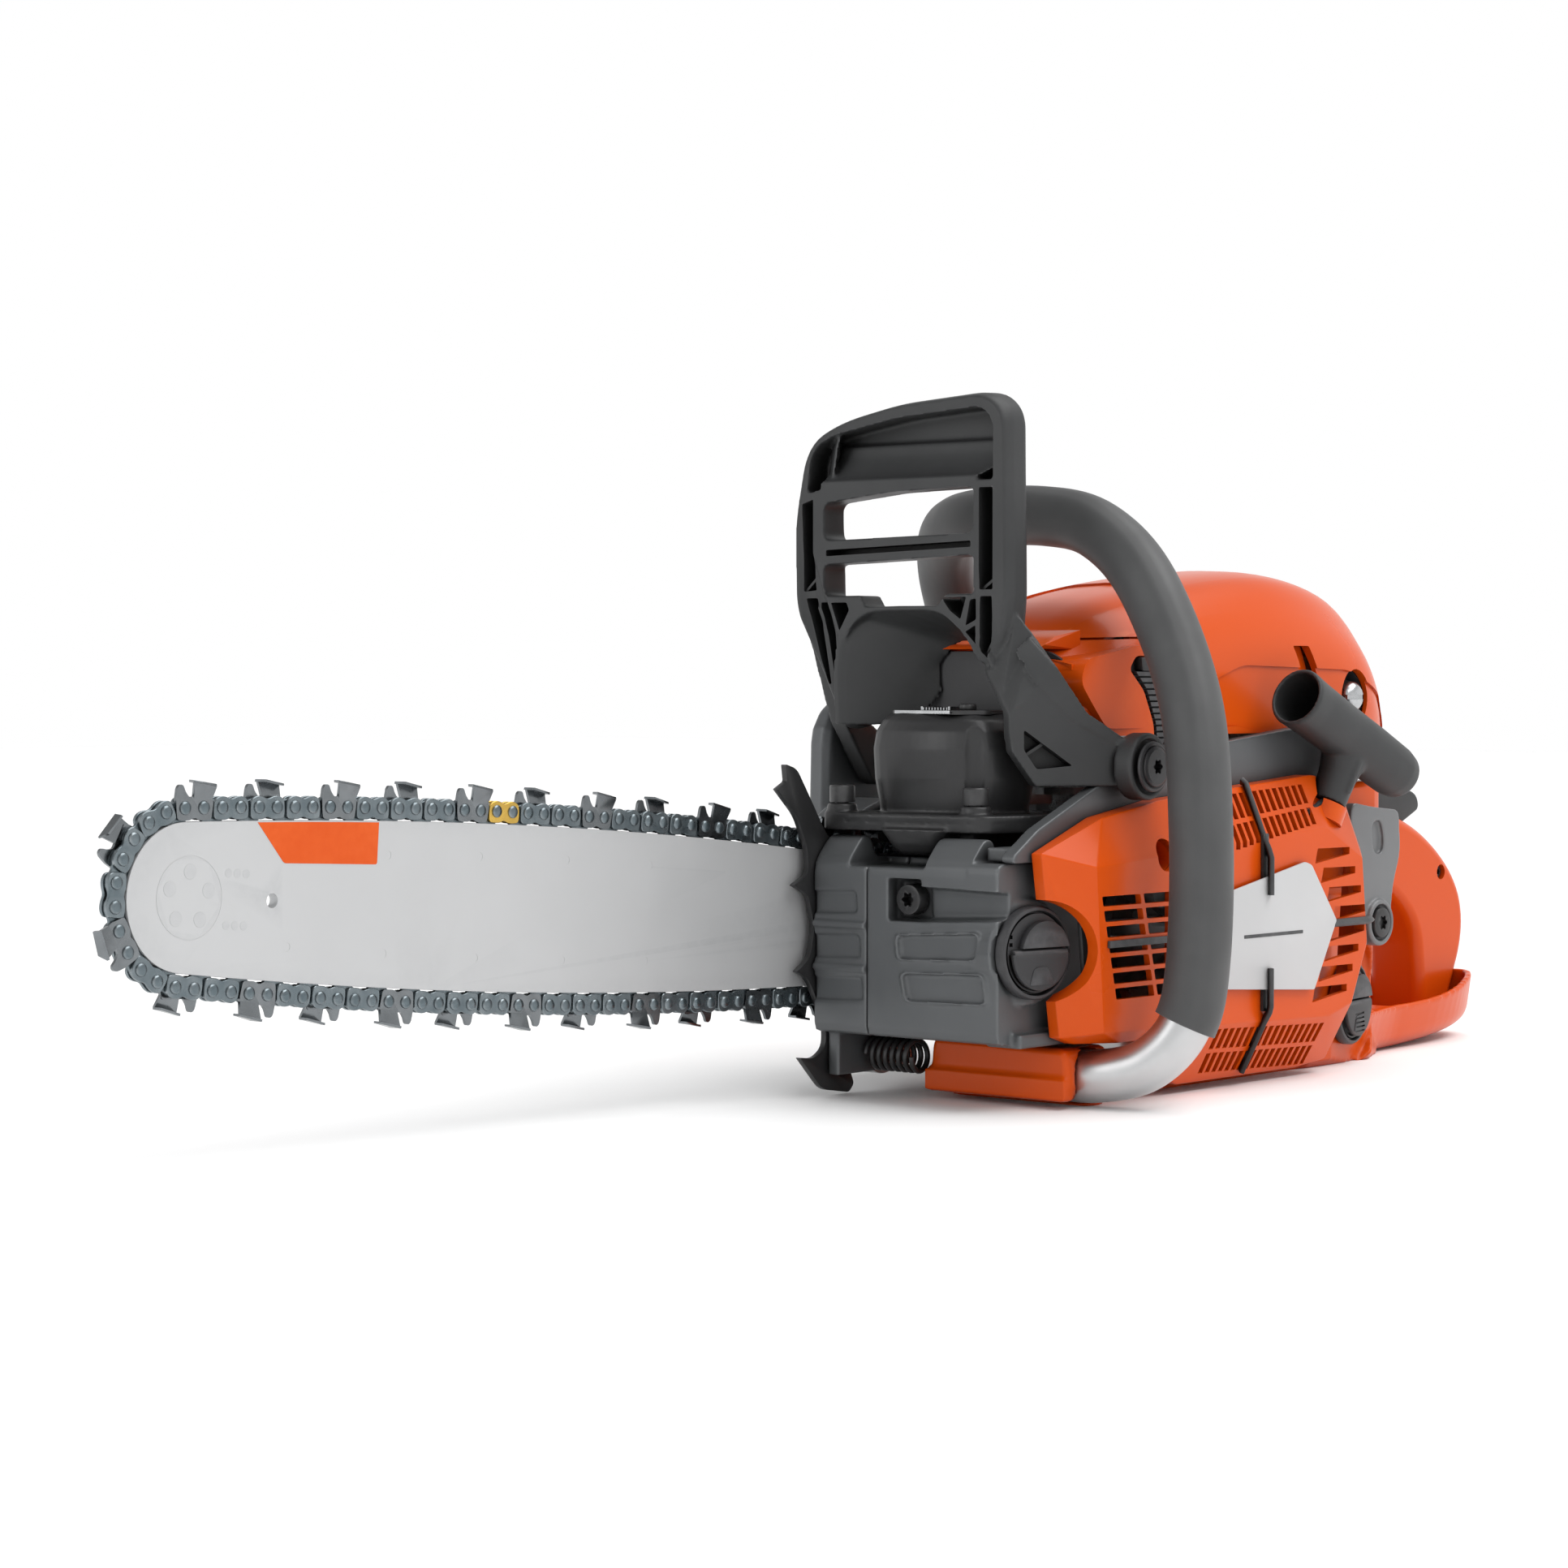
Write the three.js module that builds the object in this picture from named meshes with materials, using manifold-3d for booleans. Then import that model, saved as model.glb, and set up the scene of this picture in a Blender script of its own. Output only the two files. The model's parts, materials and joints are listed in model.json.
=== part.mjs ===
// A petrol chainsaw with a 15 inch bar, as separately named solids.
// Millimetres. X runs forward to the bar tip, Y to the operator's left, Z up.
// The origin is on the ground under the crankshaft, and the saw stands on its tank unit.
import * as THREE from "three";
import { mergeVertices } from "three/addons/utils/BufferGeometryUtils.js";
import { ConvexGeometry } from "three/addons/geometries/ConvexGeometry.js";
import Module from "manifold-3d";

const wasm = await Module();
wasm.setup();

// ---- driving dimensions -------------------------------------------------
const GAP = 0.3; // clearance left between neighbouring solids
const CRANK_Z = 64; // height of the crankshaft axis
const PARTING_Y = -14; // plane between the crankcase halves, and the cylinder axis
const CASE_RIGHT = -41.7; // right face of the crankcase
const CASE_LEFT = 38; // left face of the crankcase behind the flywheel
const CASE_FRONT = 127; // front face of the crankcase
const CHAMBER_R = 34;
const CRANK_THROW = 16;
const ROD_LENGTH = 58;
const BORE_R = 21.5;

const BAR_Y = -50; // middle plane of the guide bar and chain
const BAR_TILT = THREE.MathUtils.degToRad(4.07);
const BAR_T = 4.2;
const NOSE_U = 450; // crank axis to nose sprocket axis, along the bar
const NOSE_RIVET_R = 30.6; // rivet circle of the chain round the nose
const BELLY_R = 3016; // arc of the rivets along the bar's edges
const BELLY_START = 0.06; // angle at which the nose arc meets the belly arc
const RIVET_STEP = 8.255; // 0.325 inch chain: half the distance over three rivets
const RIVETS = 128;
const SPROCKET_TEETH = 7;
const SPROCKET_RIVET_R = RIVET_STEP / (2 * Math.sin(Math.PI / (2 * SPROCKET_TEETH)));
const BAR_INSET = 4.7; // rivet line to bar edge
const CHAIN_INSET = 4.4; // rivet line to the inner edge of the links
const STRAP_RISE = 4.2; // rivet line to the back of the tie straps
const CUTTER_RISE = 9.6; // rivet line to the tip of a cutter
const CHAIN_T = 7;
const BAR_TAIL_U = 34;
const STUD_U = [58, 92];
const TIP_HOLE_U = 411.6;
const NOSE_TEETH = 12;

const STARTER_Y = 75; // outer face of the starter cover
const FLYWHEEL_R = 41;
const GRIP_R = 14.4; // front handle with its rubber sleeve
const TUBE_R = 10.6;
const GUARD_PIVOT = [50, 66, 135];

// ---- materials ----------------------------------------------------------
function paint(color, roughness, metalness = 0) {
  return new THREE.MeshStandardMaterial({ color, roughness, metalness });
}

const FINISH = {
  orange: () => paint(0xf05010, 0.3),
  casting: () => paint(0x55585b, 0.55, 0.3),
  darkPlastic: () => paint(0x3b3c3d, 0.55),
  blackPlastic: () => paint(0x1a1b1c, 0.6),
  rubber: () => paint(0x5c5e60, 0.75),
  aluminium: () => paint(0xc4c6c8, 0.35, 0.9),
  barSteel: () => paint(0xc9cacb, 0.4, 0.4),
  chainSteel: () => paint(0x3f484c, 0.4, 0.8),
  steel: () => paint(0x8b9094, 0.35, 0.9),
  blackSteel: () => paint(0x202124, 0.5, 0.6),
  felt: () => paint(0xd8d4c4, 0.95),
  white: () => paint(0xe9eaec, 0.45),
  cord: () => paint(0x2a2a2c, 0.9),
};

// ---- solids -------------------------------------------------------------
function solid(geometry) {
  const plain = geometry.clone();
  plain.deleteAttribute("normal");
  plain.deleteAttribute("uv");
  const merged = mergeVertices(plain, 1e-4);
  const index = merged.index.array;
  const kept = [];
  for (let i = 0; i < index.length; i += 3) {
    const [a, b, c] = [index[i], index[i + 1], index[i + 2]];
    if (a !== b && b !== c && c !== a) {
      kept.push(a, b, c);
    }
  }
  const mesh = new wasm.Mesh({
    numProp: 3,
    vertProperties: Float32Array.from(merged.attributes.position.array),
    triVerts: Uint32Array.from(kept),
  });
  return new wasm.Manifold(mesh);
}

function surface(body) {
  const mesh = body.getMesh();
  const geometry = new THREE.BufferGeometry();
  geometry.setAttribute("position", new THREE.BufferAttribute(mesh.vertProperties, 3));
  geometry.setIndex(new THREE.BufferAttribute(mesh.triVerts, 1));
  geometry.computeVertexNormals();
  return geometry;
}

const saw = new THREE.Group();

function add(name, body, finish, at = [0, 0, 0], parent = saw) {
  const mesh = new THREE.Mesh(surface(body), FINISH[finish]());
  mesh.name = name;
  mesh.position.set(...at);
  parent.add(mesh);
  return mesh;
}

function union(...bodies) {
  return bodies.reduce((sum, body) => sum.add(body));
}

function cut(body, ...tools) {
  return tools.reduce((left, tool) => left.subtract(tool), body);
}

// ---- outlines -----------------------------------------------------------
// A closed outline whose corners are rounded; a point may carry its own radius.
function outline(points, radius = 0, steps = 2) {
  const count = points.length;
  const line = [];
  points.forEach(([x, y, own], i) => {
    const corner = new THREE.Vector2(x, y);
    const before = new THREE.Vector2(...points[(i + count - 1) % count].slice(0, 2));
    const after = new THREE.Vector2(...points[(i + 1) % count].slice(0, 2));
    const r = own === undefined ? radius : own;
    const back = Math.min(0.45, r / corner.distanceTo(before));
    const ahead = Math.min(0.45, r / corner.distanceTo(after));
    const enter = corner.clone().lerp(before, back);
    const leave = corner.clone().lerp(after, ahead);
    const turn = new THREE.QuadraticBezierCurve(enter, corner, leave);
    line.push(...(r > 0 ? turn.getPoints(steps) : [corner]));
  });
  const kept = line.filter((point, i) => point.distanceTo(line[(i + 1) % line.length]) > 0.3);
  return new THREE.Shape(THREE.ShapeUtils.isClockWise(kept) ? kept.reverse() : kept);
}

function rectangle(x0, x1, y0, y1, radius = 0) {
  return outline([[x0, y0], [x1, y0], [x1, y1], [x0, y1]], radius);
}

function extrude(shape, depth, bevel, curveSegments) {
  const geometry = new THREE.ExtrudeGeometry(shape, {
    depth: depth - 2 * bevel,
    bevelEnabled: bevel > 0,
    bevelSize: bevel,
    bevelThickness: bevel,
    bevelOffset: -bevel,
    bevelSegments: 1,
    curveSegments,
  });
  geometry.translate(0, 0, bevel);
  return geometry;
}

// An outline in X and Z, between two values of Y.
function alongY(shape, y0, y1, bevel = 0, curveSegments = 4) {
  const geometry = extrude(shape, y1 - y0, bevel, curveSegments);
  geometry.rotateX(Math.PI / 2);
  geometry.translate(0, y1, 0);
  return solid(geometry);
}

// An outline in Y and Z, between two values of X.
function alongX(shape, x0, x1, bevel = 0, curveSegments = 4) {
  const geometry = extrude(shape, x1 - x0, bevel, curveSegments);
  const turn = new THREE.Matrix4().makeBasis(
    new THREE.Vector3(0, 1, 0),
    new THREE.Vector3(0, 0, 1),
    new THREE.Vector3(1, 0, 0),
  );
  geometry.applyMatrix4(turn);
  geometry.translate(x0, 0, 0);
  return solid(geometry);
}

// An outline in X and Y, between two values of Z.
function alongZ(shape, z0, z1, bevel = 0, curveSegments = 4) {
  const geometry = extrude(shape, z1 - z0, bevel, curveSegments);
  geometry.translate(0, 0, z0);
  return solid(geometry);
}

function block(x0, x1, y0, y1, z0, z1) {
  const geometry = new THREE.BoxGeometry(x1 - x0, y1 - y0, z1 - z0);
  geometry.translate((x0 + x1) / 2, (y0 + y1) / 2, (z0 + z1) / 2);
  return solid(geometry);
}

function rod(radius, from, to, sides = 20, endRadius = radius) {
  const start = new THREE.Vector3(...from);
  const end = new THREE.Vector3(...to);
  const axis = end.clone().sub(start);
  const geometry = new THREE.CylinderGeometry(endRadius, radius, axis.length(), sides);
  const turn = new THREE.Quaternion().setFromUnitVectors(new THREE.Vector3(0, 1, 0), axis.normalize());
  geometry.applyQuaternion(turn);
  geometry.translate(...start.add(end).multiplyScalar(0.5).toArray());
  return solid(geometry);
}

// A disc whose axis is Y.
function disc(radius, x, z, y0, y1, sides = 24) {
  return rod(radius, [x, y0, z], [x, y1, z], sides);
}

function hull(points) {
  return solid(new ConvexGeometry(points.map((p) => new THREE.Vector3(...p))));
}

function screw(headRadius, shankRadius, seat, axis, headHeight, length) {
  const n = new THREE.Vector3(...axis).normalize();
  const point = (t) => new THREE.Vector3(...seat).addScaledVector(n, t).toArray();
  const head = rod(headRadius, point(0), point(headHeight), 16);
  const shank = rod(shankRadius, point(-length), point(0.01), 10);
  const socket = rod(headRadius * 0.5, point(headHeight * 0.4), point(headHeight + 1), 6);
  return cut(union(head, shank), socket);
}

function helix(radius, wire, from, to, turns) {
  class Coil extends THREE.Curve {
    getPoint(t) {
      const angle = t * turns * 2 * Math.PI;
      const y = from[1] + (to[1] - from[1]) * t;
      return new THREE.Vector3(from[0] + radius * Math.cos(angle), y, from[2] + radius * Math.sin(angle));
    }
  }
  const ring = new THREE.Shape().absarc(0, 0, wire, 0, 2 * Math.PI);
  const options = { steps: turns * 9, curveSegments: 3, extrudePath: new Coil(), bevelEnabled: false };
  return solid(new THREE.ExtrudeGeometry(ring, options));
}

// ---- crankcase ----------------------------------------------------------
const CASE_PROFILE = [
  [CASE_FRONT, 27], [CASE_FRONT, 96], [117, 107], [111, 107], [109, 98], [60, 98], [40, 104],
  [-38, 104], [-58, 92], [-66, 70], [-60, 36], [-40, 24], [60, 24], [72, 27],
];

const NECK_DIP = block(100, 130, -24, 15, 95, 110);

function caseHoles() {
  const chamber = disc(CHAMBER_R, 0, CRANK_Z, PARTING_Y - 10, PARTING_Y + 10, 28);
  const crank = disc(8.5, 0, CRANK_Z, -60, 60, 16);
  const skirt = rod(27, [0, PARTING_Y, CRANK_Z], [0, PARTING_Y, 110], 24);
  return [chamber, crank, skirt];
}

function crankcaseRight() {
  const profile = alongY(outline(CASE_PROFILE, 4), CASE_RIGHT, PARTING_Y - GAP / 2);
  const barPad = alongY(rectangle(40, 100, 52, 84, 8), -47.6, CASE_RIGHT + 1);
  const lug = block(86, 118, CASE_RIGHT, -36, 9, 28);
  const pumpPocket = disc(17.4, 0, CRANK_Z, -60, -33, 24);
  const studHoles = STUD_U.map((u) => disc(4.2, u, CRANK_Z + u * Math.sin(BAR_TILT), -60, -30, 12));
  return cut(union(profile, barPad, lug), ...caseHoles(), NECK_DIP, pumpPocket, ...studHoles);
}

const OIL_CAP = { at: [110, 59.5, 63], angle: 80, radius: 18.5 };
const FUEL_CAP = { at: [-131, 53.5, 27], angle: 100, radius: 18.5 };

function capPoint(cap, depth) {
  const angle = THREE.MathUtils.degToRad(cap.angle);
  const [x, y, z] = cap.at;
  return [x + depth * Math.cos(angle), y + depth * Math.sin(angle), z];
}

function crankcaseLeft() {
  const profile = alongY(outline(CASE_PROFILE, 4), PARTING_Y + GAP / 2, CASE_LEFT);
  const wing = alongY(rectangle(58, CASE_FRONT, 27, 98, 4), CASE_LEFT - 1, 52);
  const neck = rod(21, capPoint(OIL_CAP, -20), capPoint(OIL_CAP, -6), 24);
  const sill = block(30, 118, 40, 56.6, 25.6, 31);
  const boltRecess = block(120, 130, -3, 14, 74, 91);
  const boltHole = rod(4.4, [100, 5.5, 82.5], [130, 5.5, 82.5], 12);
  const capBore = rod(13.5, capPoint(OIL_CAP, -28), capPoint(OIL_CAP, -5), 20);
  const capSeat = rod(19.4, capPoint(OIL_CAP, -6), capPoint(OIL_CAP, 4), 24);
  const body = union(profile, wing, neck, sill);
  return cut(body, ...caseHoles(), NECK_DIP, boltRecess, boltHole, capBore, capSeat);
}

function sideBand() {
  const band = [
    [122, 98.3], [122, 101], [106, 111], [62, 129], [57, 141, 8], [50, 144, 8], [42, 141, 8], [36, 134],
    [-42, 141], [-94, 146, 4], [-104, 140, 4], [-102, 120], [-42, 118], [36, 112], [76, 106], [104, 98.3],
  ];
  const plate = alongY(outline(band, 2), 50, 56, 0.8);
  const boss = disc(9, GUARD_PIVOT[0], GUARD_PIVOT[2], 52, 59.5, 20);
  const foot = block(80, 118, 40, 52, 98.5, 104);
  const bolt = disc(4.3, GUARD_PIVOT[0], GUARD_PIVOT[2], 45, 70, 12);
  return cut(union(plate, boss, foot), bolt);
}

add("crankcase_right", crankcaseRight(), "casting");
add("crankcase_left", crankcaseLeft(), "casting");
add("side_band", sideBand(), "casting");
add("case_bolt", screw(6.2, 4, [120.5, 5.5, 82.5], [1, 0, 0], 4.5, 16), "steel");

// ---- guide bar and chain, in a group tilted about the crank axis --------
const barGroup = new THREE.Group();
barGroup.position.set(0, BAR_Y, CRANK_Z);
barGroup.rotation.y = -BAR_TILT;
saw.add(barGroup);

// Height of the rivet line above the bar's middle, at a distance along the bar.
function rivetHeight(u) {
  const reach = BELLY_R - NOSE_RIVET_R;
  const centreU = NOSE_U - reach * Math.sin(BELLY_START);
  const centreV = -reach * Math.cos(BELLY_START);
  return centreV + Math.sqrt(BELLY_R ** 2 - (u - centreU) ** 2);
}

// Points of the rivet line from the sprocket along the top, round the nose and back.
function rivetLine(offset, steps) {
  const top = [];
  for (let i = 0; i <= steps; i += 1) {
    const u = BAR_TAIL_U + 6 + ((NOSE_U - BAR_TAIL_U - 6) * i) / steps;
    top.push([u, rivetHeight(u) + offset]);
  }
  const nose = [];
  for (let i = 1; i < 20; i += 1) {
    const angle = Math.PI / 2 - (Math.PI * i) / 20;
    const r = NOSE_RIVET_R + offset;
    nose.push([NOSE_U + r * Math.cos(angle), r * Math.sin(angle)]);
  }
  const bottom = top.map(([u, v]) => [u, -v]).reverse();
  return [...top, ...nose, ...bottom];
}

function guideBar() {
  const edge = rivetLine(-BAR_INSET, 14);
  const tail = [[BAR_TAIL_U, -16], [BAR_TAIL_U - 4, 0], [BAR_TAIL_U, 16]];
  const plate = alongY(outline([...edge, ...tail]), -BAR_T / 2, BAR_T / 2);
  const slot = alongY(rectangle(50, 100, -4.3, 4.3, 4.2), -5, 5);
  const pinHole = disc(3.2, 76, 15, -5, 5, 12);
  const tipHole = disc(2.6, TIP_HOLE_U, 0, -5, 5, 12);
  const pocket = cut(disc(27, NOSE_U, 0, -1, 1, 32), disc(8, NOSE_U, 0, -2, 2, 20));
  return cut(plate, slot, pinHole, tipHole, pocket);
}

function noseSprocket() {
  const teeth = [];
  const count = NOSE_TEETH;
  for (let i = 0; i < count * 4; i += 1) {
    const angle = (i * 2 * Math.PI) / (count * 4);
    const r = i % 4 < 2 ? 25.3 : 21.5;
    teeth.push([r * Math.cos(angle), r * Math.sin(angle)]);
  }
  return cut(alongY(outline(teeth), -0.7, 0.7), disc(8.4, 0, 0, -2, 2, 20));
}

// The back of the chain: straps, with a tooth on every fourth rivet.
function chainBack() {
  const line = [];
  const path = [...rivetLine(0, 40), ...sprocketArc(SPROCKET_RIVET_R)];
  const curve = new THREE.Path(path.map(([u, v]) => new THREE.Vector2(u, v)));
  curve.closePath();
  const teeth = RIVETS / 4;
  const tooth = [[0, STRAP_RISE], [0.06, CUTTER_RISE - 1], [0.42, CUTTER_RISE - 1.8], [0.46, STRAP_RISE]];
  for (let i = 0; i < teeth; i += 1) {
    for (const [share, rise] of tooth) {
      const t = (i + share) / teeth;
      const at = curve.getPointAt(t);
      const way = curve.getTangentAt(t);
      line.push([at.x - way.y * rise, at.y + way.x * rise]);
    }
  }
  return line;
}

function sprocketArc(radius) {
  const arc = [];
  for (let i = 0; i <= 8; i += 1) {
    const angle = Math.PI * 1.5 - (Math.PI * i) / 8;
    arc.push([radius * Math.cos(angle), radius * Math.sin(angle)]);
  }
  return arc;
}

function sawChain() {
  const inner = [...rivetLine(-CHAIN_INSET, 14), ...sprocketArc(SPROCKET_RIVET_R - CHAIN_INSET)];
  const loop = outline(chainBack());
  loop.holes.push(outline(inner));
  return alongY(loop, -CHAIN_T / 2, CHAIN_T / 2);
}

add("guide_bar", guideBar(), "barSteel", [0, 0, 0], barGroup);
add("saw_chain", sawChain(), "chainSteel", [0, 0, 0], barGroup);
add("nose_sprocket", noseSprocket(), "steel", [NOSE_U, 0, 0], barGroup);

STUD_U.forEach((u, i) => {
  const z = CRANK_Z + u * Math.sin(BAR_TILT);
  add(`bar_stud_${i}`, disc(3.9, u, z, -73, -30.3, 12), "steel");
  const nut = cut(disc(7.5, 0, 0, -8, 0, 6), disc(4.2, 0, 0, -9, 1, 12));
  add(`bar_nut_${i}`, nut, "blackSteel", [u, -64.3, z]);
});

// ---- spike, catcher -----------------------------------------------------
const SPIKE = [
  [137, 134], [144, 136], [143, 129], [149, 126], [137, 115], [130, 101], [130, 91], [139, 87], [130, 83],
  [126, 69], [129, 57], [137, 52], [130, 49], [119, 30], [119, 20], [126, 16], [135, 17], [121, 3],
  [104, 0.5],
  [101, 4], [105, 13], [106, 24], [108, 37], [108, 100], [118, 106], [128, 121],
];
const spike = cut(alongY(outline(SPIKE, 1.5), -44.6, -42), disc(3.4, 111, 12, -50, -40, 12));
add("spike_bumper", spike, "blackSteel");
const catcherShape = outline([[60, 10], [84, 6], [96, 12], [92, 23], [60, 23]], 3);
add("chain_catcher", alongY(catcherShape, -52, -42, 0.8), "aluminium");

// ---- engine -------------------------------------------------------------
function cylinder() {
  const barrel = rod(26, [0, PARTING_Y, 104.5], [0, PARTING_Y, 172], 20);
  const fins = [];
  for (let i = 0; i < 6; i += 1) {
    const z = 112 + i * 10;
    fins.push(alongZ(rectangle(-33, 33, PARTING_Y - 27, PARTING_Y + 27, 9), z, z + 3));
  }
  const exhaust = block(20, 58, PARTING_Y - 14, PARTING_Y + 14, 118, 140);
  const intake = block(-38, -20, PARTING_Y - 13, PARTING_Y + 13, 114, 138);
  const bore = rod(BORE_R, [0, PARTING_Y, 100], [0, PARTING_Y, 162], 24);
  const plugHole = rod(5.4, [0, PARTING_Y, 160], [0, PARTING_Y, 180], 12);
  const outPort = rod(8, [10, PARTING_Y, 129], [60, PARTING_Y, 129], 12);
  const inPort = rod(8, [-10, PARTING_Y, 126], [-40, PARTING_Y, 126], 12);
  return cut(union(barrel, ...fins, exhaust, intake), bore, plugHole, outPort, inPort);
}

const PIN_Z = CRANK_Z + CRANK_THROW;
const WRIST_Z = PIN_Z + ROD_LENGTH;

function piston() {
  const skirt = rod(BORE_R - 0.4, [0, PARTING_Y, WRIST_Z - 12], [0, PARTING_Y, WRIST_Z + 17], 24);
  const hollow = block(-18, 18, PARTING_Y - 7, PARTING_Y + 7, WRIST_Z - 14, WRIST_Z + 10);
  return cut(skirt, hollow, disc(5.3, 0, WRIST_Z, PARTING_Y - 30, PARTING_Y + 30, 14));
}

function connectingRod() {
  const beam = block(-5, 5, PARTING_Y - 2.2, PARTING_Y + 2.2, PIN_Z + 8, WRIST_Z - 6);
  const bigEnd = disc(11, 0, PIN_Z, PARTING_Y - 2.6, PARTING_Y + 2.6, 18);
  const smallEnd = disc(8, 0, WRIST_Z, PARTING_Y - 4, PARTING_Y + 4, 16);
  const wristPin = disc(5, 0, WRIST_Z, PARTING_Y - 18, PARTING_Y + 18, 14);
  return union(beam, bigEnd, smallEnd, wristPin);
}

// A pressed crankshaft is two halves on a crank pin. The rod and the piston stay at top dead
// centre while the halves turn, so the pin is drawn in the rod's big end.
function crankHalf(side) {
  const inner = PARTING_Y + side * 3;
  const outer = PARTING_Y + side * 9;
  const web = disc(31, 0, 0, Math.min(inner, outer), Math.max(inner, outer), 24);
  const cheek = CRANK_THROW - 3;
  const relief = [-1, 1].map((way) => block(way * 22 - 13, way * 22 + 13, -40, 20, cheek, 40));
  const end = side < 0 ? -79 : 60;
  const shaft = disc(7.5, 0, 0, Math.min(inner, end), Math.max(inner, end), 16);
  return union(cut(web, ...relief), shaft);
}

function flywheel() {
  const parts = [disc(FLYWHEEL_R, 0, 0, 39.5, 44, 32), disc(14, 0, 0, 40, 54, 20)];
  for (let i = 0; i < 12; i += 1) {
    const fin = block(15, FLYWHEEL_R - 2, 43.5, 52, -1.2, 1.2);
    parts.push(fin.rotate([0, i * 30, 0]));
  }
  return cut(union(...parts), disc(7.8, 0, 0, 30, 60, 16));
}

function clutchDrum() {
  const cup = disc(34, 0, 0, -77, -57.5, 32);
  return cut(cup, disc(31.5, 0, 0, -80, -60, 32), disc(7.8, 0, 0, -90, -50, 16));
}

function clutchHub() {
  const shoes = cut(disc(31, 0, 0, -76, -62, 30), disc(19, 0, 0, -80, -60, 24));
  const slits = [0, 60, 120].map((a) => block(-40, 40, -80, -60, -1.5, 1.5).rotate([0, a, 0]));
  const arms = disc(21, 0, 0, -74, -63, 24);
  return cut(union(cut(shoes, ...slits), arms), disc(7.8, 0, 0, -90, -50, 16));
}

function rimSprocket() {
  const teeth = [];
  for (let i = 0; i < 28; i += 1) {
    const angle = (i * Math.PI) / 14;
    const r = i % 4 < 2 ? 13.8 : 10.5;
    teeth.push([r * Math.cos(angle), r * Math.sin(angle)]);
  }
  const rims = [disc(13.8, 0, 0, -57.1, -54.6, 24), disc(13.8, 0, 0, -47.5, -46, 24)];
  return cut(union(alongY(outline(teeth), -55, -47), ...rims), disc(7.8, 0, 0, -60, -40, 16));
}

const axle = [0, 0, CRANK_Z];
add("cylinder", cylinder(), "aluminium");
add("piston", piston(), "aluminium");
add("connecting_rod", connectingRod(), "steel");
add("crankshaft_right", crankHalf(-1), "steel", axle);
add("crankshaft_left", crankHalf(1), "steel", axle);
add("flywheel", flywheel(), "aluminium", axle);
add("clutch_drum", clutchDrum(), "blackSteel", axle);
add("clutch_hub", clutchHub(), "steel", axle);
add("rim_sprocket", rimSprocket(), "steel", axle);
const pumpBody = cut(disc(17, 0, 0, -45.6, -34, 24), disc(8.4, 0, 0, -50, -30, 16));
add("oil_pump", pumpBody, "blackPlastic", axle);
const bandRing = cut(disc(36.3, 0, 0, -75, -60, 32), disc(34.5, 0, 0, -80, -50, 32));
add("brake_band", cut(bandRing, block(20, 40, -80, -50, 8, 16)), "steel", axle);

function sparkPlug() {
  const hex = rod(9, [0, PARTING_Y, 172.4], [0, PARTING_Y, 179], 6);
  const thread = rod(5, [0, PARTING_Y, 163], [0, PARTING_Y, 173], 12);
  const insulator = rod(4.5, [0, PARTING_Y, 178], [0, PARTING_Y, 188], 12);
  return union(hex, thread, insulator);
}
const bootOuter = union(
  rod(8, [0, PARTING_Y, 179.4], [0, PARTING_Y, 194], 14),
  rod(4, [0, PARTING_Y, 190], [-38, PARTING_Y + 6, 190], 10),
);
add("spark_plug", sparkPlug(), "white");
add("spark_plug_boot", cut(bootOuter, rod(4.8, [0, PARTING_Y, 170], [0, PARTING_Y, 189], 12)), "rubber");

// ---- muffler ------------------------------------------------------------
const MUFFLER_SCREWS = [[111, -40], [106, 25]];

function muffler() {
  const plan = outline([[118, -36], [112, 36], [88, 42], [64, 36], [64, -38], [104, -41]], 8);
  const upper = alongZ(outline([[112, -31], [107, 28], [88, 35], [66, 30], [66, -32]], 10), 113, 157, 7);
  const rim = alongZ(plan, 109, 116, 1.5);
  const lower = alongZ(outline([[104, -24], [102, 18], [66, 24], [66, -28]], 10), 99, 110, 3);
  const neck = alongZ(outline([[121, -8], [119, 10], [104, 12], [104, -8]], 4), 99.5, 109.5, 1);
  const lugs = MUFFLER_SCREWS.map(([x, y]) => rod(6, [x, y, 112], [x, y, 120], 14));
  const screwHoles = MUFFLER_SCREWS.map(([x, y]) => rod(3.2, [x, y, 105], [x, y, 130], 10));
  const screwRooms = MUFFLER_SCREWS.map(([x, y]) => rod(6.2, [x, y, 120], [x, y, 160], 14));
  const inlet = rod(8, [60, PARTING_Y, 129], [90, PARTING_Y, 129], 12);
  return cut(union(upper, rim, lower, neck, ...lugs), ...screwHoles, ...screwRooms, inlet);
}

add("muffler", muffler(), "blackSteel");
MUFFLER_SCREWS.forEach(([x, y], i) => {
  add(`muffler_screw_${i}`, screw(4.8, 2.8, [x, y, 120.3], [0, 0, 1], 7, 9), "blackSteel");
});

// ---- intake -------------------------------------------------------------
const MID = PARTING_Y;
const bootBore = rod(8, [-30, MID, 126], [-60, MID, 126], 12);
const intakeBoot = cut(rod(13, [-38.4, MID, 126], [-52, MID, 126], 16), bootBore);
add("intake_boot", intakeBoot, "rubber");

function carburettor() {
  const bodyBlock = block(-88, -52.4, MID - 19, MID + 19, 108, 146);
  const lever = rod(3, [-70, MID + 15, 127], [-70, MID + 26, 127], 10);
  return cut(union(bodyBlock, lever), rod(8, [-40, MID, 126], [-100, MID, 126], 12));
}

function airFilter() {
  const shell = alongZ(rectangle(-156, -89, -34, 32, 14), 128, 186, 6);
  return cut(shell, rod(8, [-80, MID, 140], [-120, MID, 140], 12));
}

add("carburettor", carburettor(), "aluminium");
add("air_filter", airFilter(), "felt");

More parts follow.
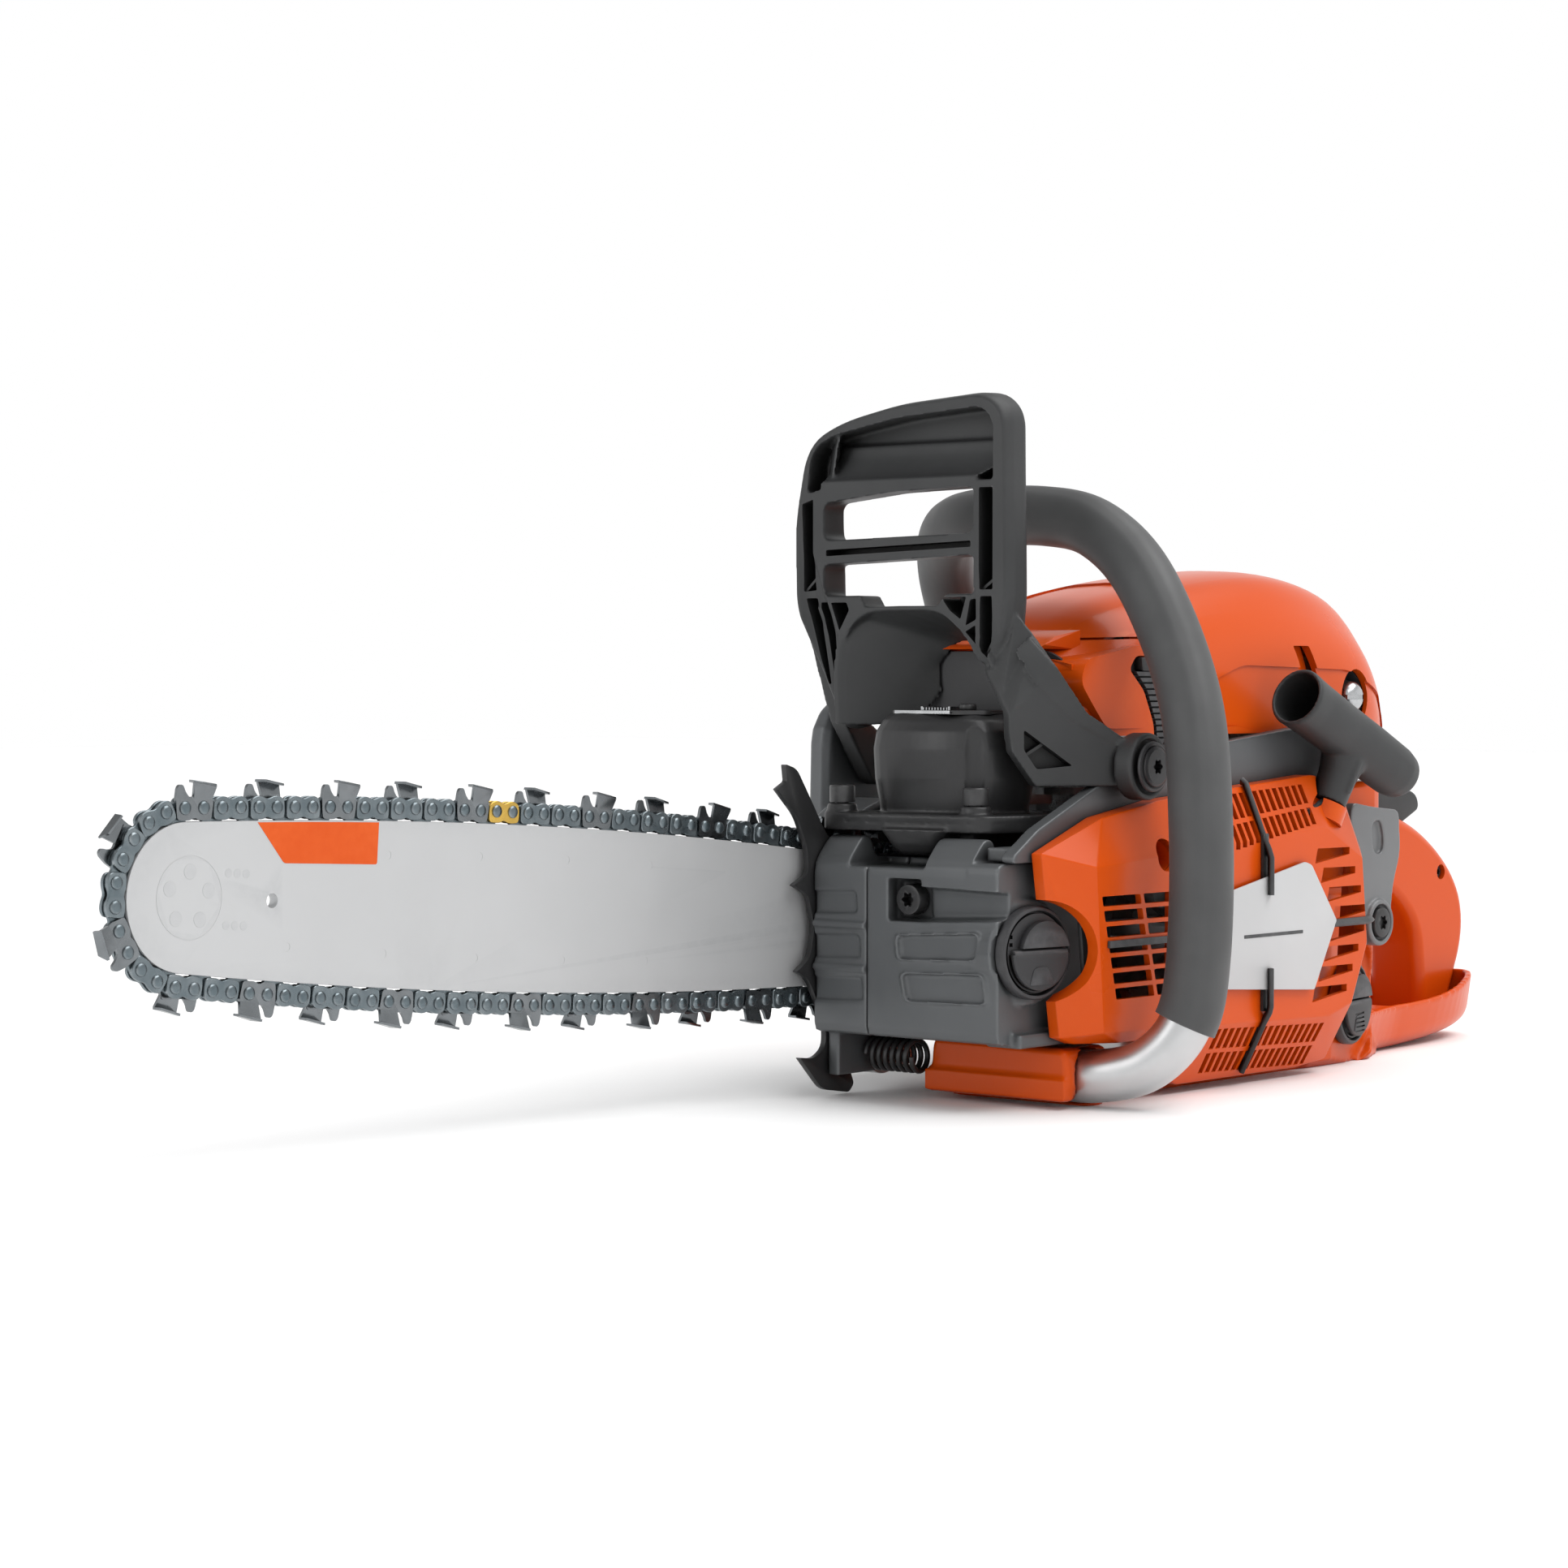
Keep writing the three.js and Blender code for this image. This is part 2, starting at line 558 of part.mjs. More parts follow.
// ---- top cover ----------------------------------------------------------
// Cross-sections from front to back: x, side height, crown height, half width low and high.
const COVER_STATIONS = [
  [60, 172, 184, 46, 34],
  [26, 183, 202, 50, 38],
  [-30, 190, 212, 51, 38],
  [-94, 190, 217, 51, 36],
  [-145, 180, 209, 49, 32],
  [-172, 166, 190, 41, 26],
  [-185, 158, 170, 30, 16],
];
const COVER_FLOOR = 147;

function coverHull(inset, floor) {
  const points = [];
  const last = COVER_STATIONS.length - 1;
  COVER_STATIONS.forEach(([x, side, crown, low, high], i) => {
    const shift = i === 0 ? -inset : 0;
    const back = i === last ? inset : 0;
    for (const way of [-1, 1]) {
      points.push([x + shift + back, way * (low - inset), floor]);
      points.push([x + shift + back, way * (low - inset), side - inset]);
      points.push([x + shift + back, way * (high - inset), crown - 5 - inset]);
      points.push([x + shift + back, way * (high * 0.5), crown - inset]);
    }
  });
  return hull(points);
}

function topCover() {
  const lip = hull([
    [66, -30, 182], [66, 30, 182], [50, -36, 182], [50, 36, 182],
    [66, -28, 186], [66, 28, 186], [50, -36, 191], [50, 36, 191],
  ]);
  const cheek = alongY(outline([[40, 150], [58, 150], [73, 168], [70, 178], [40, 184]], 4), 46, 51);
  const shell = cut(union(coverHull(0, COVER_FLOOR), lip, cheek), coverHull(3, COVER_FLOOR - 5));
  const gapOutline = [
    [4, 140], [22, 140], [24, 158], [37, 174], [30, 179], [4, 179],
  ];
  const louvreGap = alongY(outline(gapOutline, 2), 44, 60);
  const notch = alongY(outline([[-104, 166], [-98, 184], [-91, 184], [-97, 166]]), 44.5, 60);
  const knobHole = disc(12, -137, 162, 30, 70, 18);
  return cut(shell, louvreGap, notch, knobHole);
}

function intakeLouvre() {
  const plateOutline = [
    [5, 146], [21, 146], [23, 158], [36, 173.5], [30, 178], [5, 178],
  ];
  const plate = alongY(outline(plateOutline, 2), 46, 49);
  const ribs = [];
  for (let z = 149; z < 176; z += 5) {
    ribs.push(block(6, z > 160 ? 27 : 20, 48.5, 51, z, z + 2.2));
  }
  return union(plate, ...ribs);
}

add("top_cover", topCover(), "orange");
add("intake_louvre", intakeLouvre(), "blackPlastic");
const knobBody = union(disc(9.5, 0, 0, 40, 46, 18), block(-7, 7, 45, 50, -2, 2), disc(4, 0, 0, 34, 41, 12));
add("cover_knob", knobBody, "steel", [-137, 0, 162]);

// ---- starter side -------------------------------------------------------
const STARTER_OUTER = [
  [104, 98], [76, 101], [37, 104], [-76, 112], [-106, 93], [-104, 56], [-92, 32], [-70, 30], [96, 30],
];
const STARTER_BASE = [
  [112, 102], [76, 115], [37, 121], [-75, 129], [-96, 127], [-120, 96], [-114, 40], [-92, 6],
  [-70, 4], [20, 4], [38, 22], [100, 29],
];
const STARTER_INNER_Y = 62.3;

function starterShell(inset, outerY, baseY) {
  const centre = [0, 66];
  const shrink = ([x, z]) => {
    const reach = Math.hypot(x - centre[0], z - centre[1]);
    const share = 1 - inset / reach;
    return [centre[0] + (x - centre[0]) * share, centre[1] + (z - centre[1]) * share];
  };
  const far = STARTER_OUTER.map(shrink).map(([x, z]) => [x, outerY, z]);
  const near = STARTER_BASE.map(shrink).map(([x, z]) => [x, baseY, z]);
  const brow = STARTER_BASE.map(shrink).map(([x, z]) => [x, baseY + 5, z]);
  return hull([...far, ...near, ...brow]);
}

function starterVents() {
  const vents = [];
  for (let row = 0; row < 6; row += 1) {
    const z = 43 + row * 7;
    vents.push(block(43, 60, 60, 90, z, z + 5));
    vents.push(block(64, 84, 60, 90, z, z + 5));
  }
  for (let i = 0; i < 8; i += 1) {
    const x = -78 + i * 8;
    vents.push(block(x, x + 5, 56, 80, 112, 122));
    vents.push(block(x, x + 5, 60, 80, 12, 27));
  }
  for (let i = 0; i < 6; i += 1) {
    vents.push(block(-101, -85, 66, 90, 40 + i * 8, 44.5 + i * 8));
  }
  return vents;
}

const ROPE_HOLE = [-84, 68, 117];
const ROPE_START = [-14, 66, 86.5];
const PULL_AXIS = [-0.38, 0.15, 0.913];

function along(origin, direction, length) {
  const n = new THREE.Vector3(...direction).normalize();
  return new THREE.Vector3(...origin).addScaledVector(n, length).toArray();
}

const ROPE_END = along(ROPE_HOLE, PULL_AXIS, 3.4);

function starterCover() {
  const outer = cut(starterShell(0, STARTER_Y, 57), block(34, 130, 50, 80, -5, 26));
  const inner = cut(starterShell(4, STARTER_Y - 2.7, 50), block(30, 130, 40, 80, -5, 29.5));
  const capRoom = rod(23, capPoint(OIL_CAP, -30), capPoint(OIL_CAP, 30), 24);
  const roundHole = disc(6, 44, 99, 50, 90, 16);
  const post = disc(5, 0, CRANK_Z, 62, 73.5, 14);
  const ropeBoss = rod(12, along(ROPE_HOLE, PULL_AXIS, -8), along(ROPE_HOLE, PULL_AXIS, 3), 16);
  const handlePocket = rod(9.8, along(ROPE_HOLE, PULL_AXIS, 3), along(ROPE_HOLE, PULL_AXIS, 40), 16);
  const ropeBore = union(
    rod(2.6, ROPE_START, ROPE_END, 10),
    rod(2.6, along(ROPE_HOLE, PULL_AXIS, 2), along(ROPE_HOLE, PULL_AXIS, 8), 10),
  );
  const shell = cut(cut(outer, inner), capRoom, roundHole, ...starterVents());
  return cut(union(shell, post, ropeBoss), handlePocket, ropeBore);
}

add("starter_cover", starterCover(), "orange");
const labelShape = outline([[-82, 71], [-62, 88], [30, 94], [36, 88], [36, 42], [-60, 40]], 3);
add("label_plate", alongY(labelShape, STARTER_Y + 1.8, STARTER_Y + 2.8), "white");

const SPIDER_X = -24;

// The dark frame that grips the label: four arms over the starter cover.
function starterSpider() {
  const y = STARTER_Y + GAP;
  const x = SPIDER_X;
  const plate = alongY(rectangle(x - 9, x + 9, 57, 75, 3), y, y + 1.2);
  const sides = block(-100, 86, y, y + 1.2, 64.4, 67.2);
  const upright = outline([
    [y, 66], [y + 1.2, 66], [y + 1.2, 109.3], [64.3, 125.1], [63.3, 124.4], [y, 108.6],
  ]);
  const foot = outline([[y, 67], [y + 1.2, 67], [y + 1.2, 29.3], [64.5, 5.3], [63.4, 5.8], [y, 29.9]]);
  return union(plate, sides, alongX(upright, x - 2, x + 2), alongX(foot, x - 2, x + 2));
}

add("starter_spider", starterSpider(), "darkPlastic");

function starterPulley() {
  const flanges = [disc(24, 0, 0, 63, 64.4, 24), disc(24, 0, 0, 67.2, 68.6, 24)];
  return cut(union(disc(20, 0, 0, 64, 68, 24), ...flanges), disc(5.5, 0, 0, 60, 70, 14));
}

function recoilSpring() {
  const turns = 4;
  const inner = 7;
  const outer = 21;
  const steps = turns * 16;
  const path = [];
  for (let i = 0; i <= steps; i += 1) {
    const angle = (i / 16) * 2 * Math.PI;
    path.push([angle, inner + ((outer - inner) * i) / steps]);
  }
  const side = (grow) => path.map(([a, r]) => [(r + grow) * Math.cos(a), (r + grow) * Math.sin(a)]);
  return alongY(outline([...side(0.5), ...side(-0.5).reverse()]), 69, 72);
}

function starterHandle() {
  const foot = along(ROPE_HOLE, PULL_AXIS, 4);
  const middle = along(ROPE_HOLE, PULL_AXIS, 30);
  const barWay = [-0.92, 0, -0.392];
  const front = along(middle, barWay, -46);
  const back = along(middle, barWay, 46);
  const grip = cut(rod(12.5, front, back, 18, 11.5), rod(9.5, front, along(front, barWay, 26), 14, 7));
  const stem = union(
    rod(8, foot, along(foot, PULL_AXIS, 8), 14, 7),
    rod(7, along(foot, PULL_AXIS, 7.9), middle, 14, 13),
  );
  return cut(union(grip, stem), rod(2.4, along(foot, PULL_AXIS, -1), along(foot, PULL_AXIS, 12), 8));
}

add("starter_pulley", starterPulley(), "blackPlastic", axle);
add("recoil_spring", recoilSpring(), "steel", axle);
add("starter_rope", rod(1.6, ROPE_START, ROPE_END, 8), "cord");
add("starter_handle", starterHandle(), "darkPlastic");

// ---- clutch side --------------------------------------------------------
const COVER_OUTLINE = [
  [96, 24], [106, 40], [108, 92], [100, 114], [80, 121], [40, 118], [-30, 114], [-54, 96], [-61, 64],
  [-54, 38],
  [-34, 23],
];
const COVER_INSIDE = [
  [140, 26.5], [140, 118], [98, 110.5], [40, 114], [-28, 110], [-50, 94], [-57, 64], [-50, 40],
  [-32, 27], [80, 27],
];

function clutchCover() {
  const body = alongY(outline(COVER_OUTLINE, 8), -67, -42, 2);
  const domeOutline = [
    [52, 34], [62, 64], [50, 104], [0, 112], [-46, 98], [-54, 64], [-42, 30], [0, 22],
  ];
  const dome = alongY(outline(domeOutline, 14), -90, -64, 5);
  const chainRoom = alongY(outline(COVER_INSIDE, 5), -55.4, -40);
  const padZ = CRANK_Z + 5;
  const barPad = alongY(rectangle(44, 104, padZ - 20, padZ + 20, 8), -56, -52.4);
  const drumRoom = disc(38.5, 0, CRANK_Z, -86.5, -50, 32);
  const lobeOutline = [
    [36, 108], [36, 140], [50, 160], [64, 162], [75, 150], [76, 108],
  ];
  const lobe = alongY(outline(lobeOutline, 7), -90, -78.5, 3);
  const skirt = block(37, 75, -80, -64, 106, 115);
  const pin = disc(4, GUARD_PIVOT[0], GUARD_PIVOT[2], -80, -67, 12);
  const shell = cut(union(body, dome, lobe, skirt), chainRoom, drumRoom);
  const studHoles = STUD_U.map((u) => disc(4.4, u, CRANK_Z + u * Math.sin(BAR_TILT), -70, -50, 12));
  const nutRooms = STUD_U.map((u) => disc(11, u, CRANK_Z + u * Math.sin(BAR_TILT), -100, -64, 20));
  const tensionHole = rod(3.4, [84, -60, 48], [120, -60, 48], 10);
  return cut(union(shell, barPad, pin), ...studHoles, ...nutRooms, tensionHole);
}

add("clutch_cover", clutchCover(), "casting");
add("chain_tension_screw", screw(4.2, 2.8, [0, 0, 0], [1, 0, 0], 3.5, 20), "steel", [110, -60, 48]);

// ---- tank unit and rear handle ------------------------------------------
function tankUnit() {
  const floor = alongZ(outline([
    [-190, -44], [30, -44], [62, -10], [78, -10], [78, 60], [66, 60], [60, 46], [-90, 46],
    [-150, 48], [-190, 30],
  ], 4), 0, 13);
  const foot = alongX(outline([[-8, 3], [60, 3], [63, 9], [61, 24], [-6, 25]], 3), 66, 95, 1.5);
  const tankPlan = [[-93, 50], [-152, 50], [-186, 20], [-186, -44], [-93, -50]];
  const tank = alongZ(outline(tankPlan, 6), 0, 78, 3);
  const chamberPlan = [[-98, 42], [-170, 42], [-186, 22], [-186, -40], [-98, -44]];
  const chamber = alongZ(outline(chamberPlan, 6), 70, 124, 3);
  const bootPlan = [
    [-180, -38], [-180, 40], [-262, 36, 20], [-287, 16, 18], [-287, -16, 18], [-262, -36, 20],
  ];
  const boot = alongZ(outline(bootPlan, 4), 0, 23);
  const bootRoomPlan = [
    [-186.2, -33], [-186.2, 34], [-259, 32, 18], [-283.5, 15, 16], [-283.5, -15, 16], [-259, -32, 18],
  ];
  const bootRoom = alongZ(outline(bootRoomPlan, 2), 9, 40);
  const grain = block(-186.3, -180, -40, 40, 20, 40);
  const tubeBore = rod(11.4, [78, 8, 12.5], [78, 90, 12.5], 20);
  const handleBoss = rod(13, [-106, -49, 76], [-106, -58.2, 76], 18);
  const capSeat = rod(30, capPoint(FUEL_CAP, -6), capPoint(FUEL_CAP, 12), 24);
  const capBore = rod(13.5, capPoint(FUEL_CAP, -20), capPoint(FUEL_CAP, -5), 20);
  const springBore = disc(9, -145, 62, 18, 60, 16);
  const rearPart = cut(union(cut(boot, bootRoom), grain), block(-300, -186, -60, 60, 23, 60));
  const body = union(floor, foot, tank, chamber, rearPart, handleBoss);
  return cut(body, tubeBore, capSeat, capBore, springBore);
}

const REAR_SIDE = [
  [-186.4, 118, 0], [-212, 112, 12], [-256, 98, 20], [-287, 74, 20], [-293, 48, 14], [-274, 9.4, 0],
  [-250, 9.4, 0],
  [-249, 34, 8], [-246, 54, 14], [-226, 70, 12], [-204, 76, 6], [-186.4, 80, 0],
];

function rearHandle() {
  const grip = alongY(outline(REAR_SIDE), -14.5, 14.5, 5, 3);
  const triggerRoom = block(-232, -194, -5.6, 5.6, 60, 98);
  const lockoutRoom = block(-268, -212, -5.6, 5.6, 92, 125);
  const hole = disc(3.2, -268, 78, 8, 20, 12);
  return cut(grip, triggerRoom, lockoutRoom, hole);
}

add("tank_unit", tankUnit(), "orange");
add("rear_handle", rearHandle(), "orange");

function throttleTrigger() {
  const blade = [
    [-196, 92], [-196, 72], [-203, 60], [-210, 56], [-218, 58], [-222, 66], [-224, 84], [-214, 92],
  ];
  return alongY(outline(blade, 3), -5, 5, 1.2, 2);
}

function throttleLockout() {
  const paddle = [[-215, 100], [-216, 115], [-232, 121], [-262, 116], [-265, 108], [-240, 98], [-226, 98]];
  return alongY(outline(paddle, 3), -5, 5, 1.2, 2);
}

add("throttle_trigger", throttleTrigger(), "darkPlastic");
add("throttle_lockout", throttleLockout(), "darkPlastic");
const leverBody = union(disc(7, 0, 0, -50, -44.6, 16), block(-22, 4, -52, -48, -3, 3));
add("stop_lever", leverBody, "blackPlastic", [-136, 0, 112]);

const bracketSide = [
  [-124, 104], [-124, 114], [-162, 110], [-164, 84], [-156, 60, 8], [-145, 50, 10], [-134, 60, 8],
  [-134, 84],
];
const bracket = cut(alongY(outline(bracketSide, 4), 50.6, 55.4, 0.8), disc(4.4, -145, 62, 40, 60, 14));
add("rear_av_bracket", bracket, "casting");
add("av_spring_rear", helix(6.6, 1, [-145, 20, 62], [-145, 49, 62], 5), "steel");
add("av_spring_front", helix(6.2, 1.1, [97, -34, 17], [97, -9.8, 17], 5), "blackSteel");

// ---- caps ---------------------------------------------------------------
function cap(spec) {
  const plug = rod(12.8, capPoint(spec, -15), capPoint(spec, -5.6), 20);
  const lid = rod(spec.radius, capPoint(spec, -5.7), capPoint(spec, -0.8), 28);
  return union(plug, lid);
}

// The folding wing on a cap: half a ring, lying on the lower half of the lid.
function bail(spec) {
  const eye = rod(6, capPoint(spec, -2), capPoint(spec, 4), 16);
  const wing = cut(rod(15.5, capPoint(spec, -0.5), capPoint(spec, 2), 24), eye);
  const [x, y, z] = spec.at;
  return cut(wing, block(x - 40, x + 40, y - 40, y + 40, z + 0.5, z + 40));
}

for (const [name, spec] of [["oil_cap", OIL_CAP], ["fuel_cap", FUEL_CAP]]) {
  add(name, cap(spec), "blackPlastic");
  add(`${name}_bail`, bail(spec), "blackPlastic");
}

// ---- front handle -------------------------------------------------------
const HANDLE_ROUTE = [
  [78, 14, 12.5], [78, 40, 12.5], [78, 64, 12.5], [73, 85, 18], [66, 98, 34], [61, 101, 60], [58, 100, 110],
  [47, 87, 162], [38, 60, 208], [33, 32, 231], [28, 0, 238], [22, -40, 238], [8, -66, 233], [-10, -82, 219],
  [-28, -90, 196], [-48, -95, 160], [-72, -96, 124], [-93, -90, 96], [-104, -78, 79], [-106, -66, 76],
  [-106, -59.2, 76],
];
const GRIP_FROM = 4;
const GRIP_TO = 16;

function handleSweep(from, to, shape, steps) {
  const whole = new THREE.CatmullRomCurve3(HANDLE_ROUTE.map((p) => new THREE.Vector3(...p)));
  const last = HANDLE_ROUTE.length - 1;
  class Part extends THREE.Curve {
    getPoint(t) {
      return whole.getPoint((from + (to - from) * t) / last);
    }
  }
  const options = { steps, curveSegments: 5, extrudePath: new Part(), bevelEnabled: false };
  return solid(new THREE.ExtrudeGeometry(shape, options));
}

function tubeShape(radius) {
  return new THREE.Shape().absarc(0, 0, radius, 0, 2 * Math.PI);
}

const sleeve = tubeShape(GRIP_R);
sleeve.holes.push(new THREE.Path().absarc(0, 0, TUBE_R + 1.1, 0, 2 * Math.PI));
add("front_handle", handleSweep(0, HANDLE_ROUTE.length - 1, tubeShape(TUBE_R), 44), "aluminium");
add("front_handle_grip", handleSweep(GRIP_FROM, GRIP_TO, sleeve, 32), "rubber");

// ---- hand guard ---------------------------------------------------------
const GUARD_FACE = [
  [-62, 176], [-78, 192], [-83, 204], [-82, 236], [-75, 268, 10], [-58, 276, 10], [-26, 282], [20, 285, 8],
  [29, 277, 4], [30, 196], [18, 180], [6, 184], [-4, 194], [-50, 194],
];

function handGuard() {
  const face = outline(GUARD_FACE, 3);
  const upper = outline([[-63, 227], [-64, 243], [-30, 247], [6, 248], [8, 228]], 3);
  const lower = outline([[-63, 200], [-64, 219], [8, 220], [8, 199]], 3);
  face.holes.push(upper, lower);
  const frame = alongX(face, 79, 93, 1.5, 2);
  const browOutline = [
    [-72, 252], [-66, 268], [-26, 276], [20, 278], [22, 254], [-20, 254],
  ];
  const browRoom = alongX(outline(browOutline, 4), 84, 100);
  const hood = hull([
    [80, -66, 196], [86, -66, 196], [80, 4, 196], [86, 4, 196],
    [64, -60, 172], [68, -60, 170], [66, -34, 178], [70, -34, 176],
  ]);
  const rightArm = union(
    hull([[79, -80, 200], [92, -80, 200], [79, -66, 200], [92, -66, 200],
      [60, -77, 152], [74, -77, 152], [60, -69, 152], [74, -69, 152]]),
    hull([[60, -77, 156], [74, -77, 156], [60, -69, 156], [74, -69, 156],
      [44, -77, 130], [58, -77, 130], [44, -69, 130], [58, -69, 130], [42, -77, 140], [42, -69, 140]]),
    disc(10, GUARD_PIVOT[0], GUARD_PIVOT[2], -77, -69, 18),
  );
  const leftArm = union(
    hull([[79, 14, 200], [92, 14, 200], [79, 29, 204], [92, 29, 204], [80, 22, 178], [92, 26, 182],
      [84, 60, 160], [72, 62, 170], [70, 56, 150], [82, 56, 145]]),
    hull([[84, 58, 166], [72, 61, 176], [70, 56, 160], [86, 56, 136], [88, 54, 140], [82, 62, 130],
      [56, 69, 146], [52, 69, 123], [56, 62, 146], [52, 62, 123], [70, 64, 128]]),
    disc(13, GUARD_PIVOT[0], GUARD_PIVOT[2], 61.6, 70, 22),
  );
  const bores = union(
    disc(4.5, GUARD_PIVOT[0], GUARD_PIVOT[2], -90, -60, 14),
    disc(4.5, GUARD_PIVOT[0], GUARD_PIVOT[2], 50, 80, 14),
  );
  return cut(union(cut(frame, browRoom), hood, rightArm, leftArm), bores);
}

add("hand_guard", handGuard(), "darkPlastic");
const pivot = GUARD_PIVOT;
add("guard_pivot_bolt", screw(8.5, 4, [pivot[0], 70.4, pivot[2]], [0, 1, 0], 3.2, 22), "blackSteel");

export default saw;
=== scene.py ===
# The look of a petrol chainsaw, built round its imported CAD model.
# Shapes are worked out in millimetres, in the CAD's own frame, and turned into metres by piece().
# X runs forwards along the bar, Y to the starter's side, Z up.
import json
import math

import bmesh
import bpy
from mathutils import Matrix, Vector


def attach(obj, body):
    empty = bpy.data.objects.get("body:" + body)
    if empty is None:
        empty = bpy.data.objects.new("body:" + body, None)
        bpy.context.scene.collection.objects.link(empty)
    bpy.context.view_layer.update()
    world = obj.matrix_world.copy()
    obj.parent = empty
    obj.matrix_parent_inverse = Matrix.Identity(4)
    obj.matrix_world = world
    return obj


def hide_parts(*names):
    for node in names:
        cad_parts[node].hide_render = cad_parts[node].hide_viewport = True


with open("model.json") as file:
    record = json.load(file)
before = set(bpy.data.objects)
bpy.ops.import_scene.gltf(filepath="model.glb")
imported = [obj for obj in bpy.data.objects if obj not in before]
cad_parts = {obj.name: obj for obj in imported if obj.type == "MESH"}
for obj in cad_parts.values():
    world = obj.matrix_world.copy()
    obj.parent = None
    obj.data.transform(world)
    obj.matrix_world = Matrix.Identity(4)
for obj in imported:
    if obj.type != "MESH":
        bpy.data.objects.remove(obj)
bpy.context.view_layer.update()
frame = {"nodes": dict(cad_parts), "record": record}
MM = 0.001
X_AXIS = (1, 0, 0)
Y_AXIS = (0, 1, 0)
Z_AXIS = (0, 0, 1)


# ---- solids -------------------------------------------------------------
def placed(name, data):
    """A new object in the scene."""
    made = bpy.data.objects.new(name, data)
    bpy.context.scene.collection.objects.link(made)
    return made


def from_bmesh(shape):
    mesh = bpy.data.meshes.new("solid")
    shape.to_mesh(mesh)
    shape.free()
    return placed("solid", mesh)


def solid(vertices, faces):
    mesh = bpy.data.meshes.new("rough")
    mesh.from_pydata([tuple(v) for v in vertices], [], faces)
    shape = bmesh.new()
    shape.from_mesh(mesh)
    bpy.data.meshes.remove(mesh)
    bmesh.ops.remove_doubles(shape, verts=shape.verts, dist=1e-5)
    bmesh.ops.recalc_face_normals(shape, faces=shape.faces)
    return from_bmesh(shape)


def apply_modifiers(thing):
    graph = bpy.context.evaluated_depsgraph_get()
    mesh = bpy.data.meshes.new_from_object(thing.evaluated_get(graph))
    thing.modifiers.clear()
    thing.data = mesh
    return thing


def boolean(thing, tool, operation):
    step = thing.modifiers.new("step", "BOOLEAN")
    step.operation = operation
    step.solver = "MANIFOLD"
    step.object = tool
    apply_modifiers(thing)
    bpy.data.objects.remove(tool)
    return thing


def cut(thing, *tools):
    for tool in tools:
        boolean(thing, tool, "DIFFERENCE")
    return thing


def union(thing, *others):
    for other in others:
        boolean(thing, other, "UNION")
    return thing


def group(things):
    """One object out of several that don't touch."""
    shape = bmesh.new()
    for thing in things:
        shape.from_mesh(thing.data)
        bpy.data.objects.remove(thing)
    return from_bmesh(shape)


def moved(thing, matrix):
    thing.data.transform(matrix)
    if matrix.determinant() < 0:
        thing.data.flip_normals()
    return thing


def copy_of(thing):
    return placed("copy", thing.data.copy())


def from_cad(node):
    """The CAD node's own solid, in millimetres, with its vertices joined."""
    shape = bmesh.new()
    shape.from_mesh(frame["nodes"][node].data)
    bmesh.ops.remove_doubles(shape, verts=shape.verts, dist=1e-6)
    bmesh.ops.scale(shape, vec=(1 / MM,) * 3, verts=shape.verts)
    return from_bmesh(shape)


def fused(thing, voxel, smoothing):
    """A cast or moulded skin: edges melt together over about one voxel."""
    remesh = thing.modifiers.new("remesh", "REMESH")
    remesh.mode = "VOXEL"
    remesh.voxel_size = voxel
    remesh.use_smooth_shade = True
    smooth = thing.modifiers.new("smooth", "SMOOTH")
    smooth.factor = 0.5
    smooth.iterations = smoothing
    return apply_modifiers(thing)


def bevelled(thing, width, segments=2, angle=35):
    tidy = thing.modifiers.new("tidy", "WELD")
    tidy.merge_threshold = 0.01
    edge = thing.modifiers.new("edge", "BEVEL")
    edge.width = width
    edge.segments = segments
    edge.limit_method = "ANGLE"
    edge.angle_limit = math.radians(angle)
    return apply_modifiers(thing)


# ---- outlines -----------------------------------------------------------
def rounded(points, radius=0.0, steps=6):
    """A closed outline with round corners. A point may carry its own radius."""
    line = []
    count = len(points)
    for i, point in enumerate(points):
        corner = Vector(point[:2])
        before = Vector(points[i - 1][:2])
        after = Vector(points[(i + 1) % count][:2])
        size = point[2] if len(point) > 2 else radius
        if size == 0:
            line.append(corner)
            continue
        enter = corner.lerp(before, min(0.48, size / max((corner - before).length, 1e-6)))
        leave = corner.lerp(after, min(0.48, size / max((corner - after).length, 1e-6)))
        for step in range(steps + 1):
            t = step / steps
            line.append(enter * (1 - t) ** 2 + corner * 2 * t * (1 - t) + leave * t ** 2)
    kept = []
    for point in line:
        if not kept or (point - kept[-1]).length > 0.02:
            kept.append(point)
    return kept


def rectangle(x0, x1, y0, y1, radius=0.0):
    return rounded([(x0, y0), (x1, y0), (x1, y1), (x0, y1)], radius)


def turns(sides):
    return [2 * math.pi * i / sides for i in range(sides)]


def oval(a, b, sides=36):
    return [(a * math.cos(angle), b * math.sin(angle)) for angle in turns(sides)]


def prism(line, low, high, axis="y"):
    """An outline pushed along an axis. It is in X and Z along Y, Y and Z along X, X and Y along Z."""
    before = "xyz".index(axis)
    count = len(line)
    points = []
    for level in (low, high):
        for point in line:
            place = list(point[:2])
            place.insert(before, level)
            points.append(place)
    faces = [list(range(count)), list(range(2 * count - 1, count - 1, -1))]
    faces += [[i, (i + 1) % count, (i + 1) % count + count, i + count] for i in range(count)]
    return solid(points, faces)


def slab(points, radius, low, high, axis="y", steps=6):
    """A prism over an outline with round corners."""
    return prism(rounded(points, radius, steps), low, high, axis)


def box(x0, x1, y0, y1, z0, z1):
    return prism(rectangle(x0, x1, z0, z1), y0, y1)


